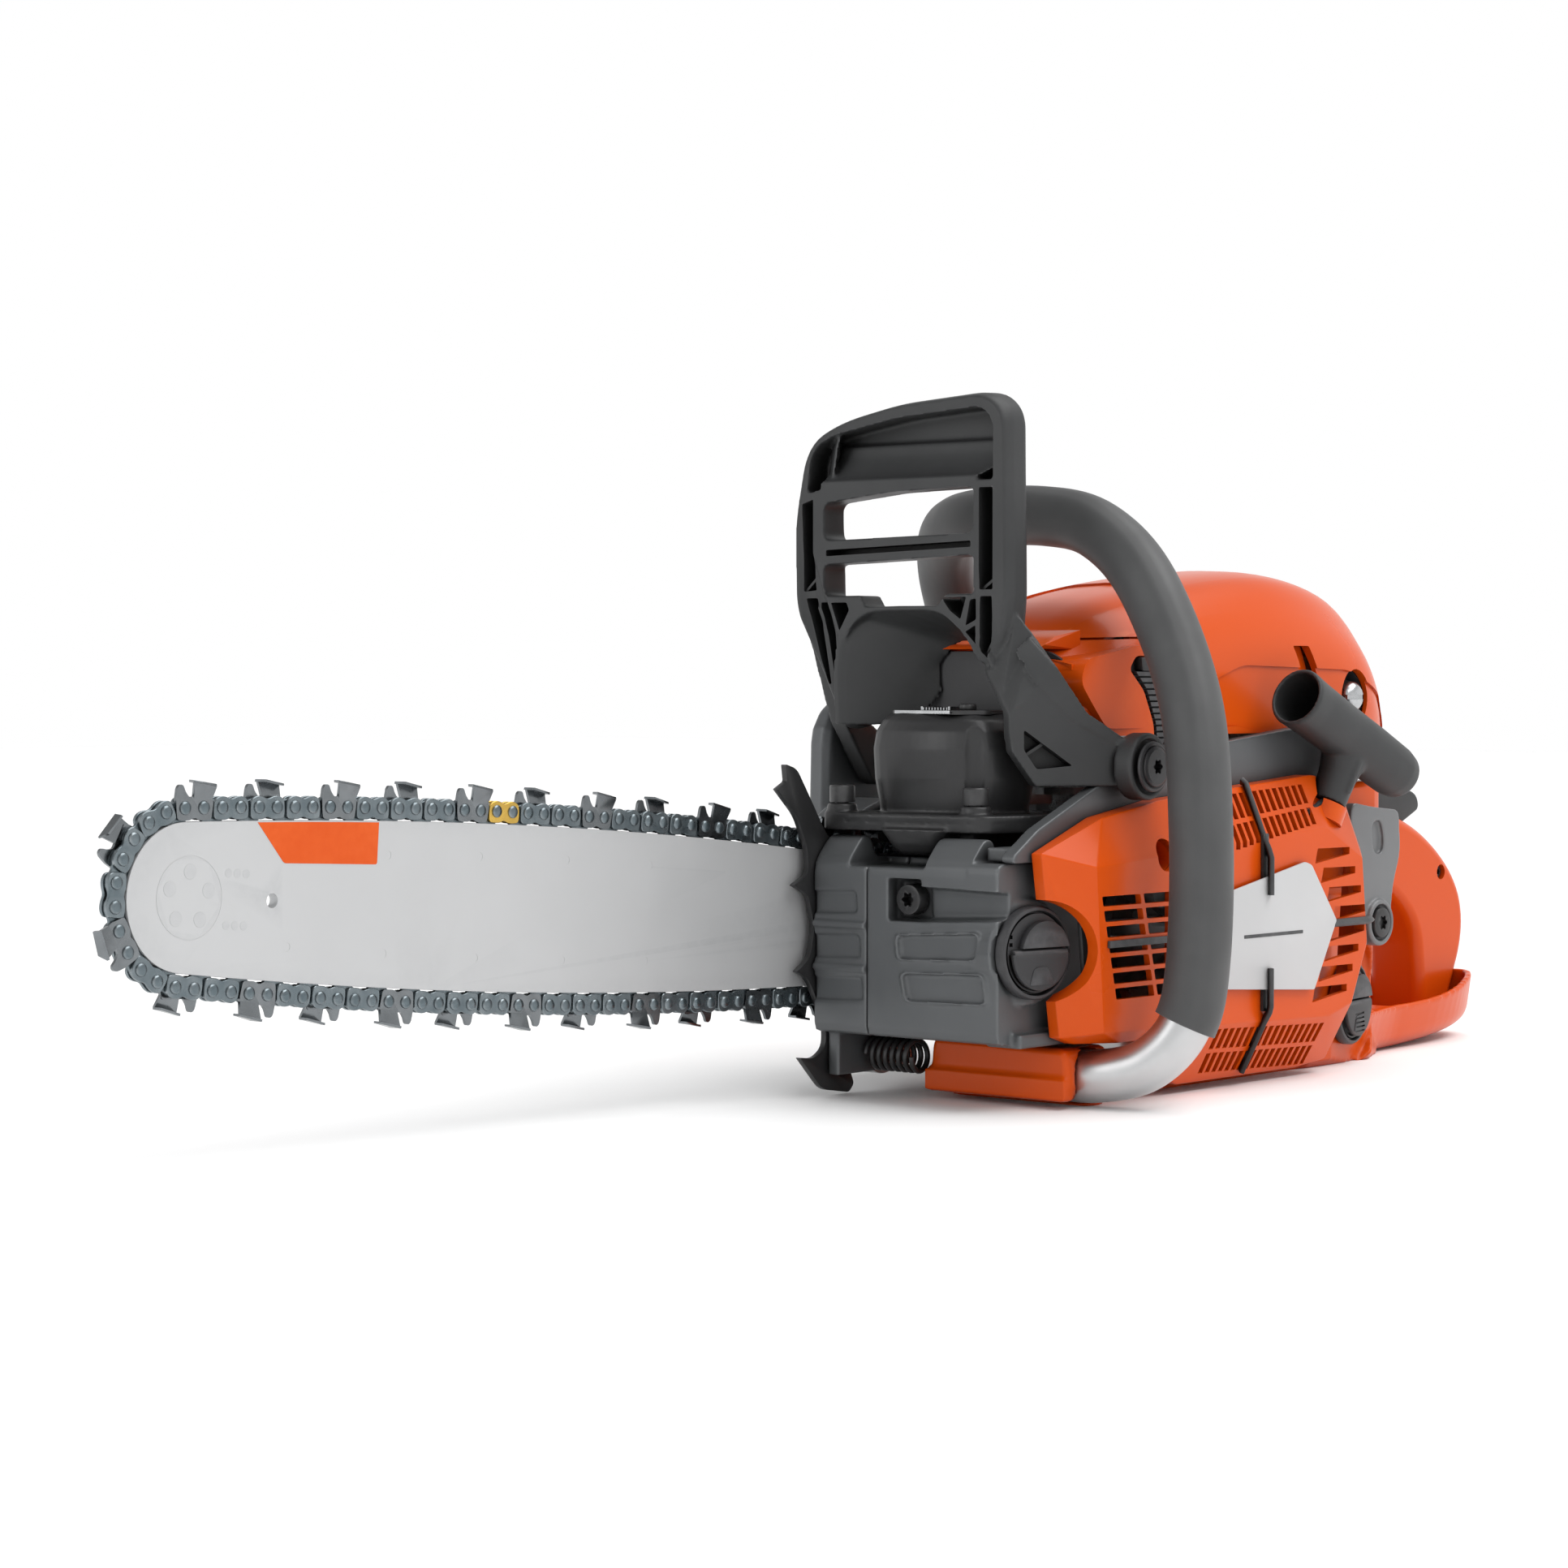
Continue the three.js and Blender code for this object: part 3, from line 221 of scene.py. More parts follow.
def loft(sections):
    """A closed solid through rings of equal counts of points, capped at both ends."""
    count = len(sections[0])
    points = [p for ring in sections for p in ring]
    faces = [list(range(count)), [len(points) - 1 - i for i in range(count)]]
    for s in range(len(sections) - 1):
        for i in range(count):
            j = (i + 1) % count
            faces.append([s * count + i, s * count + j, (s + 1) * count + j, (s + 1) * count + i])
    return solid(points, faces)


def hull(points):
    shape = bmesh.new()
    for point in points:
        shape.verts.new(point)
    found = bmesh.ops.convex_hull(shape, input=shape.verts)
    spare = [v for v in found["geom_interior"] if isinstance(v, bmesh.types.BMVert)]
    bmesh.ops.delete(shape, geom=spare, context="VERTS")
    return from_bmesh(shape)


def basis(axis):
    """A turn that takes +Z to the axis."""
    return Vector(axis).normalized().to_track_quat("Z", "Y").to_matrix().to_4x4()


def lathe(profile, origin, axis, sides=32):
    """A turned solid. The profile is (radius, height) along the axis, from bottom to top."""
    rings = [[(*p, height) for p in oval(radius, radius, sides)] for radius, height in profile]
    return moved(loft(rings), Matrix.Translation(origin) @ basis(axis))


def rod(radius, start, end, sides=32, end_radius=None):
    way = Vector(end) - Vector(start)
    far = radius if end_radius is None else end_radius
    return lathe([(radius, 0), (far, way.length)], start, way, sides)


def disc(radius, x, z, y0, y1, sides=40):
    return rod(radius, (x, y0, z), (x, y1, z), sides)


def point_on(origin, axis, distance):
    return Vector(origin) + Vector(axis).normalized() * distance


def spline(points, steps):
    """Points along a Catmull-Rom curve, steps to each stretch."""
    line = []
    count = len(points)
    for i in range(count - 1):
        four = [Vector(points[max(0, min(count - 1, i + k))]) for k in (-1, 0, 1, 2)]
        for step in range(steps):
            t = step / steps
            a, b, c, d = four
            line.append(0.5 * (2 * b + (c - a) * t + (2 * a - 5 * b + 4 * c - d) * t ** 2
                               + (3 * b - a - 3 * c + d) * t ** 3))
    line.append(Vector(points[-1]))
    return line


def swept(path, section_at):
    """A solid along a path. section_at(share) gives the ring in the path's own plane."""
    rings = []
    tangent = (path[1] - path[0]).normalized()
    side = tangent.orthogonal().normalized()
    for i, point in enumerate(path):
        ahead = path[min(i + 1, len(path) - 1)] - path[max(i - 1, 0)]
        turn = tangent.rotation_difference(ahead.normalized())
        side = (turn @ side).normalized()
        tangent = ahead.normalized()
        other = tangent.cross(side)
        ring = section_at(i / (len(path) - 1))
        rings.append([point + side * a + other * b for a, b in ring])
    return loft(rings)


# ---- materials ----------------------------------------------------------
class Recipe:
    """Builds one node-based material on the object's own coordinates."""

    def __init__(self, name, base, roughness, metallic):
        self.material = bpy.data.materials.new(name)
        self.material.use_nodes = True
        self.tree = self.material.node_tree
        self.shader = self.tree.nodes["Principled BSDF"]
        self.base = base
        self.shader.inputs["Metallic"].default_value = metallic
        self.coordinates = self.node("ShaderNodeTexCoord").outputs["Object"]
        self.roughness = roughness
        self.colour = None
        self.normal = None

    def node(self, kind, **values):
        made = self.tree.nodes.new(kind)
        for key, value in values.items():
            setattr(made, key, value)
        return made

    def link(self, out, socket):
        self.tree.links.new(out, socket)

    def noise(self, size, detail=3.0, stretch=(1, 1, 1)):
        """Noise whose grains are about this many millimetres across."""
        place = self.node("ShaderNodeMapping")
        place.inputs["Scale"].default_value = stretch
        self.link(self.coordinates, place.inputs["Vector"])
        made = self.node("ShaderNodeTexNoise")
        made.inputs["Scale"].default_value = 1 / (size * MM)
        made.inputs["Detail"].default_value = detail
        self.link(place.outputs["Vector"], made.inputs["Vector"])
        return made.outputs["Fac"]

    def ranged(self, value, low, high, start=0.3, end=0.7):
        made = self.node("ShaderNodeMapRange")
        for socket, amount in (("From Min", start), ("From Max", end), ("To Min", low), ("To Max", high)):
            made.inputs[socket].default_value = amount
        self.link(value, made.inputs["Value"])
        return made.outputs["Result"]

    def blend(self, share, second):
        """Mixes a second colour over what there is, by a 0 to 1 share."""
        mix = self.node("ShaderNodeMix", data_type="RGBA")
        self.link(share, mix.inputs["Factor"])
        if self.colour is None:
            mix.inputs["A"].default_value = (*self.base, 1)
        else:
            self.link(self.colour, mix.inputs["A"])
        mix.inputs["B"].default_value = (*second, 1)
        self.colour = mix.outputs["Result"]

    def vary(self, size, second, amount):
        self.blend(self.ranged(self.noise(size), 0, amount), second)

    def wear(self, second, amount, start=0.53, end=0.6):
        """Lighter rubbed edges, where the surface is convex."""
        edge = self.node("ShaderNodeNewGeometry").outputs["Pointiness"]
        rubbed = self.ranged(edge, 0, amount, start, end)
        broken = self.node("ShaderNodeMath", operation="MULTIPLY")
        self.link(rubbed, broken.inputs[0])
        self.link(self.ranged(self.noise(4), 0.3, 1), broken.inputs[1])
        self.blend(broken.outputs["Value"], second)

    def grain(self, size, depth, strength=1.0, detail=2.0, stretch=(1, 1, 1)):
        """Relief of that depth in millimetres."""
        bump = self.node("ShaderNodeBump")
        bump.inputs["Distance"].default_value = depth * MM
        bump.inputs["Strength"].default_value = strength
        self.link(self.noise(size, detail, stretch), bump.inputs["Height"])
        if self.normal is not None:
            self.link(self.normal, bump.inputs["Normal"])
        self.normal = bump.outputs["Normal"]

    def hollow(self, reach, dark, amount, start=0.15, end=0.75):
        """Painted shade: darker in pockets, within that reach in millimetres."""
        found = self.node("ShaderNodeAmbientOcclusion", samples=6)
        found.inputs["Distance"].default_value = reach * MM
        self.blend(self.ranged(found.outputs["AO"], amount, 0, start, end), dark)

    def done(self, smudge, spread):
        """The material, with smudges of that size that shift its roughness."""
        rough = self.ranged(self.noise(smudge, 5), self.roughness - spread, self.roughness + spread)
        self.link(rough, self.shader.inputs["Roughness"])
        if self.colour is not None:
            self.link(self.colour, self.shader.inputs["Base Color"])
        if self.normal is not None:
            self.link(self.normal, self.shader.inputs["Normal"])
        return self.material


def finish(name, base, roughness, metallic=0.0, vary=(), wear=(), pocket_shades=(), grains=(), sockets=(),
           smudge=25, spread=0.06):
    """A material from its parts: patches, rubbed edges, painted shade in pockets, relief, then smudges."""
    made = Recipe(name, base, roughness, metallic)
    made.vary(*vary)
    if wear:
        made.wear(*wear)
    # Painted shade, darker in pockets and creases.
    for hollow in pocket_shades:
        made.hollow(*hollow)
    for grain in grains:
        made.grain(*grain)
    for socket, value in sockets:
        made.shader.inputs[socket].default_value = value
    return made.done(smudge, spread)


def times(base, factor):
    return tuple(c * factor for c in base)


def casting(name, base):
    # The near-black in the casting's pockets is painted shade.
    return finish(name, base, 0.42, 0.35, (40, times(base, 1.25), 0.6), ((0.42, 0.43, 0.44), 0.35),
                  [(9, (0.012, 0.012, 0.013), 0.75, 0.2, 0.8)], [(0.9, 0.02, 0.5, 4)], spread=0.07)


def steel(name, base, roughness=0.27):
    return finish(name, base, roughness, 1.0, (6, times(base, 0.72), 0.6), grains=[(0.3, 0.006, 0.5, 3)],
                  smudge=8, spread=0.08)


ALUMINIUM = (0.56, 0.565, 0.57)
FINISH = {
    # The deeper red in its creases and pockets is painted shade.
    "orange_plastic": finish(
        "orange_plastic", (0.6, 0.07, 0.002), 0.29, 0.0, (60, (0.64, 0.08, 0.004), 0.3),
        ((0.9, 0.2, 0.04), 0.3, 0.54, 0.66), [(9, (0.3, 0.018, 0.001), 0.7)], [(1.6, 0.012, 0.35)],
        [("Specular IOR Level", 0.18), ("Coat Weight", 0.08), ("Coat Roughness", 0.1)], 60, 0.02),
    "casting": casting("casting", (0.095, 0.1, 0.104)),
    # The near-black in its pockets, close by and across the hood's wide hollow, is painted shade.
    "dark_plastic": finish(
        "dark_plastic", (0.03, 0.031, 0.032), 0.5, 0.0, (30, (0.042, 0.043, 0.044), 0.6),
        ((0.13, 0.13, 0.135), 0.5),
        [(12, (0.002, 0.002, 0.002), 1.0, 0.2, 0.7), (60, (0.006, 0.006, 0.006), 0.8, 0.2, 0.62)],
        [(0.7, 0.03, 0.5, 3)], [("Specular IOR Level", 0.35)]),
    # The darker colour in its pockets is painted shade.
    "black_plastic": finish(
        "black_plastic", (0.02, 0.02, 0.022), 0.5, 0.0, (25, (0.032, 0.032, 0.034), 0.6),
        ((0.1, 0.1, 0.105), 0.5), [(5, (0.001, 0.001, 0.001), 0.9, 0.2, 0.8)], [(0.6, 0.03, 0.6, 3)]),
    # The darker colour in its pockets is painted shade.
    "rubber": finish(
        "rubber", (0.048, 0.049, 0.05), 0.55, 0.0, (22, (0.064, 0.065, 0.066), 0.7),
        ((0.17, 0.17, 0.175), 0.5), [(12, (0.02, 0.02, 0.02), 0.7)], [(0.5, 0.05, 0.5, 4), (9, 0.05, 0.3, 2)],
        [("Sheen Weight", 0.05), ("Sheen Roughness", 0.5)], spread=0.08),
    "aluminium": finish(
        "aluminium", ALUMINIUM, 0.33, 1.0, (18, times(ALUMINIUM, 0.86), 0.5),
        grains=[(1.2, 0.01, 0.5, 5), (0.35, 0.006, 0.4, 2)], spread=0.08),
    "bar_steel": finish(
        "bar_steel", (0.5, 0.505, 0.51), 0.36, 0.3, (80, (0.45, 0.455, 0.46), 0.5),
        ((0.36, 0.37, 0.38), 0.8), grains=[(0.5, 0.006, 0.5, 4, (0.15, 1, 1))]),
    "chain_steel": finish(
        "chain_steel", (0.105, 0.135, 0.15), 0.3, 0.9, (7, (0.18, 0.21, 0.225), 0.7),
        ((0.5, 0.52, 0.53), 0.5), grains=[(0.4, 0.01, 0.5, 3)], smudge=5, spread=0.1),
    "steel": steel("steel", (0.5, 0.51, 0.52)),
    # The darker colour in its pockets is painted shade.
    "black_steel": finish(
        "black_steel", (0.022, 0.022, 0.023), 0.36, 0.3, (20, (0.036, 0.036, 0.037), 0.6),
        ((0.16, 0.16, 0.16), 0.5), [(10, (0.002, 0.002, 0.002), 0.8)], [(1.0, 0.02, 0.45, 4)], spread=0.08),
    "filter": finish("filter", (0.62, 0.6, 0.52), 0.85, 0.0, (3, (0.45, 0.43, 0.37), 0.6),
                     grains=[(0.4, 0.1, 0.8, 5)]),
    "label": finish("label", (0.5, 0.503, 0.508), 0.36, 0.0, (50, (0.46, 0.463, 0.468), 0.5),
                    grains=[(0.6, 0.006, 0.4)]),
    "cord": finish("cord", (0.03, 0.03, 0.032), 0.8, 0.0, (2, (0.1, 0.1, 0.1), 0.6),
                   grains=[(0.6, 0.2, 0.9, 2)]),
}
LIGHT_CASTING = casting("light_casting", (0.15, 0.154, 0.158))
GILT = steel("gilt_steel", (0.66, 0.43, 0.1), 0.3)
CUTTER_STEEL = steel("cutter_steel", (0.2, 0.215, 0.225), 0.24)
BODY_OF = {node: body for body, nodes in frame["record"]["behaviour"]["bodies"].items() for node in nodes}
SLOT_OF = {part["node"]: part["material_slot"] for part in frame["record"]["subparts"]}


def piece(thing, name, node=None, slot=None, material=None, sharp=30, weighted=False):
    """Turns a solid into a named piece, in the place of a CAD node or riding on the saw's body."""
    thing.data.transform(Matrix.Scale(MM, 4))
    thing.name = name
    for face in thing.data.polygons:
        face.use_smooth = True
    thing.data.set_sharp_from_angle(angle=math.radians(sharp))
    if weighted:
        even = thing.modifiers.new("even", "WEIGHTED_NORMAL")
        even.keep_sharp = True
        apply_modifiers(thing)
    thing.data.name = name
    made_of = slot or SLOT_OF[node]
    thing.data.materials.clear()
    thing.data.materials.append(material or FINISH[made_of])
    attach(thing, BODY_OF[node] if node else "saw")
    if node:
        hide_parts(node)


for node, thing in frame["nodes"].items():
    thing.data.materials.clear()
    thing.data.materials.append(FINISH[SLOT_OF[node]])


# ---- guide bar and chain ------------------------------------------------
# Worked in the bar's own plane: u runs along the bar from the crank axis, v up, then tilted.
BAR_Y = -50
CRANK_Z = 64
BAR_TILT = math.radians(4.07)
BAR_PLACE = Matrix.Translation((0, BAR_Y, CRANK_Z)) @ Matrix.Rotation(-BAR_TILT, 4, "Y")
NOSE_U = 450
NOSE_RIVET_R = 30.6
NOSE_STEPS = 36
STAR_U = NOSE_U - 1
BAR_HALF = 2.1
BELLY_R = 3016
BELLY_START = 0.06
SPROCKET_RIVET_R = 18.55
RIVETS = 128


def rivet_height(u):
    """How far the rivets are from the bar's middle line, along its slightly bulged edge."""
    reach = BELLY_R - NOSE_RIVET_R
    centre_u = NOSE_U - reach * math.sin(BELLY_START)
    return math.sqrt(BELLY_R ** 2 - (u - centre_u) ** 2) - reach * math.cos(BELLY_START)


def rivet_line(offset, start, steps=60):
    """The line through the rivets, from the tail over the nose and back, moved outwards by an offset."""
    top = []
    for i in range(steps + 1):
        u = start + (NOSE_U - start) * i / steps
        top.append((u, rivet_height(u) + offset))
    nose = []
    for i in range(1, NOSE_STEPS):
        angle = math.pi / 2 - math.pi * i / NOSE_STEPS
        radius = NOSE_RIVET_R + offset
        nose.append((NOSE_U + radius * math.cos(angle), radius * math.sin(angle)))
    return top + nose + [(u, -v) for u, v in reversed(top)]


def guide_bar():
    """Two side plates over a core, with the star's rivets at the nose and a slot at the tail."""
    edge = rivet_line(-4.7, 40)
    tail = [(34, -16), (31, -11), (30, 0), (31, 11), (34, 16)]
    plates = [bevelled(prism(edge + tail, low, low + 1.35), 0.3, 2) for low in (-BAR_HALF, 0.75)]
    core = prism(rivet_line(-10.9, 42) + [(38, -10), (38, 10)], -0.8, 0.8)
    cut(core, disc(27, NOSE_U, 0, -3, 3, 48))
    bar = union(plates[0], core, plates[1], disc(7.9, NOSE_U, 0, -1, 1))
    slot = prism(rectangle(50, 100, -4.3, 4.3, 4.2), -5, 5)
    holes = [disc(3.2, 76, 15, -5, 5), disc(2.6, 411.6, 0, -5, 5), disc(1.7, 120, -9, -5, 5, 20)]
    for face in (-BAR_HALF, BAR_HALF):
        skin = (face - 0.1, face + 0.1)
        for u in range(128, 405, 46):
            for v in (rivet_height(u) - 17, 17 - rivet_height(u)):
                holes.append(disc(1.7, u, v, *skin, 20))
        holes.append(cut(disc(14.6, STAR_U, 0, *skin, 48), disc(14.1, STAR_U, 0, -4, 4, 48)))
    cut(bar, slot, group(holes))
    rivets = []
    for i in range(5):
        angle = math.radians(90 + 72 * i)
        spot = (STAR_U + 9 * math.cos(angle), -2.25, 9 * math.sin(angle))
        rivets.append(lathe([(2.5, 0), (2.7, 0.08), (2.7, 4.42), (2.5, 4.5)], spot, Y_AXIS))
    for u in (424, 428, 432):
        for v in (-9, 9):
            small = [(1.5, 0), (1.6, 0.05), (1.6, 4.35), (1.5, 4.4)]
            rivets.append(lathe(small, (u, -2.2, v), Y_AXIS, 20))
    union(bar, group(rivets))
    piece(moved(bar, BAR_PLACE), "guide_bar_laminated", "guide_bar", sharp=38, weighted=True)


def bar_patches():
    top = [(363 + 57 * i / 8, rivet_height(363 + 57 * i / 8) - 5.3) for i in range(9)]
    line = rounded(top + [(407, 13.2, 1), (363, 14.2, 1)])
    patches = [prism(line, 2.11, 2.19), prism(line, -2.19, -2.11)]
    piece(moved(group(patches), BAR_PLACE), "bar_colour_patches", slot="orange_plastic", sharp=38)


def chain_rivets():
    """Rivet centres, evenly spaced round the loop."""
    arc = []
    for i in range(25):
        angle = math.pi * 1.5 - math.pi * i / 24
        arc.append((SPROCKET_RIVET_R * math.cos(angle), SPROCKET_RIVET_R * math.sin(angle)))
    loop = [Vector(p) for p in rivet_line(0, 40, 80) + arc]
    loop.append(loop[0])
    lengths = [(loop[i + 1] - loop[i]).length for i in range(len(loop) - 1)]
    step = sum(lengths) / RIVETS
    places = []
    travelled = 0.0
    for i, length in enumerate(lengths):
        while len(places) < RIVETS and len(places) * step < travelled + length:
            share = (len(places) * step - travelled) / length
            places.append(loop[i].lerp(loop[i + 1], share))
        travelled += length
    return places


def link_places(rivets, first, every):
    """Placing matrices of the links that start at every nth rivet."""
    places = []
    for i in range(first, RIVETS, every):
        start = rivets[i]
        way = (rivets[(i + 1) % RIVETS] - start).normalized()
        turn = Matrix(((way.x, 0, -way.y, 0), (0, 1, 0, 0), (way.y, 0, way.x, 0), (0, 0, 0, 1)))
        places.append(Matrix.Translation((start.x, 0, start.y)) @ turn)
    return places


def repeated(template, places):
    made = group([moved(copy_of(template), place) for place in places])
    bpy.data.objects.remove(template)
    return moved(made, BAR_PLACE)


LINK_FOOT = [(-3.7, -1.2), (-3.3, -3.9), (-1.5, -4.3), (1.9, -4.3), (4.1, -3.3), (6.3, -4.3), (9.8, -4.3),
             (11.6, -3.9), (12, -1.2)]
STRAP_IN, STRAP_OUT = 0.72, 2.0


def strap(side):
    back = [(11.6, 2.6), (9.4, 3.9), (6.8, 3.8), (4.1, 2.7), (1.5, 3.8), (-1.1, 3.9), (-3.3, 2.6)]
    low, high = sorted((side * STRAP_IN, side * STRAP_OUT))
    return bevelled(slab(LINK_FOOT + back, 1.2, low, high, steps=3), 0.22, 1, 50)


def drive_link():
    shape = [
        (-3.2, 0), (-2.6, 2.5), (0.5, 3.4), (4.1, 2.2), (7.7, 3.4), (10.8, 2.5), (11.4, 0), (10.4, -3.4),
        (7.8, -4.6), (5.4, -9.4), (3.4, -9.4), (1.6, -6.6), (-1.8, -3.8),
    ]
    return bevelled(slab(shape, 1, -0.64, 0.64, steps=3), 0.15, 1, 50)


def cutter(side):
    """A cutting link on one side: depth gauge ahead, side plate leaning out, top plate over it."""
    gauge = [(12.2, 3.2), (11.6, 7), (10.6, 8.1), (9, 7.9), (8.1, 5.6), (6.4, 3.6)]
    back = [(4.8, 3.9), (-3.2, 4.6), (-4.2, 1.8)]
    base = slab(LINK_FOOT + gauge + back, 0.9, STRAP_IN, STRAP_OUT, steps=3)
    wall = hull([
        (-3.8, STRAP_IN, 3), (-3.8, STRAP_OUT, 3), (4.4, STRAP_IN, 3), (4.4, STRAP_OUT, 3),
        (-4.6, 2.4, 7.4), (-4.6, 3.4, 7.2), (5.2, 2.4, 8.9), (5.2, 3.4, 8.7),
    ])
    top = hull([
        (-4.6, 3.45, 7.3), (-4.6, 3.2, 8.1), (-4.2, -0.6, 8.1), (-4.2, -0.6, 7.3),
        (5.8, 3.45, 8.7), (5.8, 3.2, 9.6), (4.2, -0.9, 9.6), (4.2, -0.9, 8.7),
    ])
    made = bevelled(union(base, wall, top), 0.16, 1, 45)
    if side < 0:
        moved(made, Matrix.Scale(-1, 4, Y_AXIS))
    return made


def saw_chain():
    rivets = chain_rivets()
    joints = link_places(rivets, 1, 2)
    left = joints[0::4]
    right = joints[2::4]
    plain = joints[1::2]
    marker = min(plain, key=lambda m: (m.translation - Vector((301, 0, 36))).length)
    plain = [m for m in plain if m is not marker]
    straps = [repeated(strap(1), plain + right), repeated(strap(-1), plain + left)]
    piece(group(straps), "chain_tie_straps", "saw_chain")
    piece(group([repeated(strap(1), [marker]), repeated(strap(-1), [marker])]), "chain_joining_strap",
          slot="steel", material=GILT)
    cutters = [repeated(cutter(1), left), repeated(cutter(-1), right)]
    piece(group(cutters), "chain_cutters", slot="steel", material=CUTTER_STEEL)
    piece(repeated(drive_link(), link_places(rivets, 0, 2)), "chain_drive_links", slot="chain_steel")
    dome = [(2.35, 0), (2.4, 0.25), (2.1, 0.66), (1.5, 0.92), (0.7, 1.04)]
    heads = []
    for side in (-1, 1):
        head = lathe(dome, (0, side * STRAP_OUT, 0), (0, side, 0), 18)
        places = [Matrix.Translation((p.x, 0, p.y)) for p in rivets]
        heads.append(repeated(head, places))
    piece(group(heads), "chain_rivets", slot="chain_steel", sharp=60)


guide_bar()
bar_patches()
saw_chain()


# ---- hand guard ---------------------------------------------------------
PIVOT_X, PIVOT_Y, PIVOT_Z = 50, 66, 135
GUARD_FRONT = 93
GUARD_BACK = 79
LEAN_FROM = 194  # below this height the frame's legs lean back
LEAN = 0.22
ARM_OUT = Vector((0.504, 0.864, 0))  # the way the left arm's flat side faces
ARM_SLOPE = 0.583


def guard_frame():
    """The upright frame with its two windows, slightly smaller towards the front."""
    line = rounded([
        (-58, 150), (-64, 149), (-71, 172, 6), (-82, 200, 6), (-82.5, 236, 8), (-76, 268, 12), (-58, 277, 14),
        (-26, 283, 8), (20, 286, 9), (30, 278, 7), (31, 202, 5), (28, 184, 4), (20, 173, 3), (14, 176, 2),
        (8, 188, 8), (-4, 197.2, 8), (-47, 197.2, 13), (-59, 181, 8), (-60, 162, 3),
    ])
    centre = Vector((-26, 230))
    rings = []
    for x, size in ((GUARD_BACK, 0.985), (81, 1.0), (88, 0.995), (91.6, 0.98), (GUARD_FRONT, 0.965)):
        rings.append([(x, *(centre + (p - centre) * size)) for p in line])
    frame_body = loft(rings)
    upper = rounded([(-65.5, 227.5), (-65.5, 243), (-30, 246.5), (13.5, 247.5), (13.5, 229)], 4)
    lower = rounded([
        (-65.5, 204.5), (-65.5, 217.5), (13.5, 220), (13.5, 204.5, 2), (-1, 204.5, 1), (-5, 199.8, 1),
        (-43, 199.8, 1), (-46, 204.5, 1),
    ], 3)
    return cut(frame_body, *[prism(line, 70, 100, "x") for line in (upper, lower)])


def leaned(thing):
    """Leans a guard solid back below the frame's lower corners."""
    for vertex in thing.data.vertices:
        z = vertex.co.z
        if z < LEAN_FROM:
            vertex.co.x -= (LEAN_FROM - z) * LEAN
    return thing


def guard_cells():
    """The pockets between the ribs on the front."""
    cells = [
        [(-77, 206.5), (-77, 243), (-71, 244.8), (-71, 207)],
        [(16.2, 206), (16.2, 247), (23.2, 247), (23.2, 206)],
        [(-76, 203.8), (-70.8, 203.8), (-67.8, 188), (-65.8, 168), (-67.2, 168)],
        [(-68.8, 202), (-63.6, 202), (-61, 190), (-61.6, 172), (-61.6, 156), (-63, 156), (-64, 172),
         (-65.8, 188)],
        [(-61.6, 201.8), (-53.2, 201.8), (-52, 198.6), (-58, 190)],
        [(16.6, 203.4), (22.6, 203.4), (21.8, 188), (19.2, 178), (15.2, 181)],
        [(-3, 203.2), (9.8, 203.2), (6.4, 194.2), (1.5, 197.6)],
        [(11.6, 202), (14.6, 202.6), (14.2, 194), (8.8, 191.6)],
        [(8.4, 189.2), (13.8, 191.8), (13.2, 184)],
    ]
    tools = [leaned(slab(cell, 0.8, 81.2, 100, "x", 3)) for cell in cells]
    tools.append(slab([(-64, 221.0), (-64, 223.6), (12, 225.8), (12, 223.2)], 0.8, 83, 100, "x", 3))
    for cell, y0, z0, y1, z1 in ((0, -77.6, 206, -71, 212), (1, 16, 206, 23.4, 211), (5, 16, 180, 20.5, 186)):
        ends = [(y, z + d) for y, z in ((y0, z0), (y1, z1)) for d in (-0.7, 0.7)]
        strut = hull([(x, *end) for x in (80, 90.5) for end in ends])
        cut(tools[cell], leaned(strut))
    return tools


def guard_scoop():
    """The deep recess under the upper edge, with its ledge and its leaning rib."""
    plan = rounded([(-73.4, 248), (-72, 263, 6), (-63, 270.4, 6), (-26, 276.6, 6), (17, 279.4, 4),
                    (22.8, 274, 4), (22.8, 250.5, 3), (-20, 250.5, 6)], 3)
    floor = rounded([(101, 250.4, 0), (92.8, 251.5), (88.5, 255), (84.6, 261), (83.6, 266.2, 0.4),
                     (81.6, 267.2, 0.4), (80.8, 272), (80.8, 282, 0), (101, 282, 0)], 5)
    scoop = boolean(prism(plan, 78, 101, "x"), prism(floor, -90, 40), "INTERSECT")
    corner = slab([(-74.4, 247.6), (-72.6, 263, 5), (-66, 269, 4), (-63.2, 268, 2), (-67.4, 248.6)], 0.6,
                  80.8, 101, "x", 3)
    nook = slab([(12.5, 250.2), (22.8, 250.2), (22.8, 256.5)], 0.6, 81, 101, "x", 3)
    rib = swept([Vector((87, y, z)) for y, z in ((-58.6, 279), (-61.8, 273), (-63.8, 267), (-67.4, 247))],
                lambda share: [(-6, -0.6), (4.6, -0.6), (4.6, 0.6), (-6, 0.6)])
    union(scoop, corner, nook)
    return cut(scoop, rib)


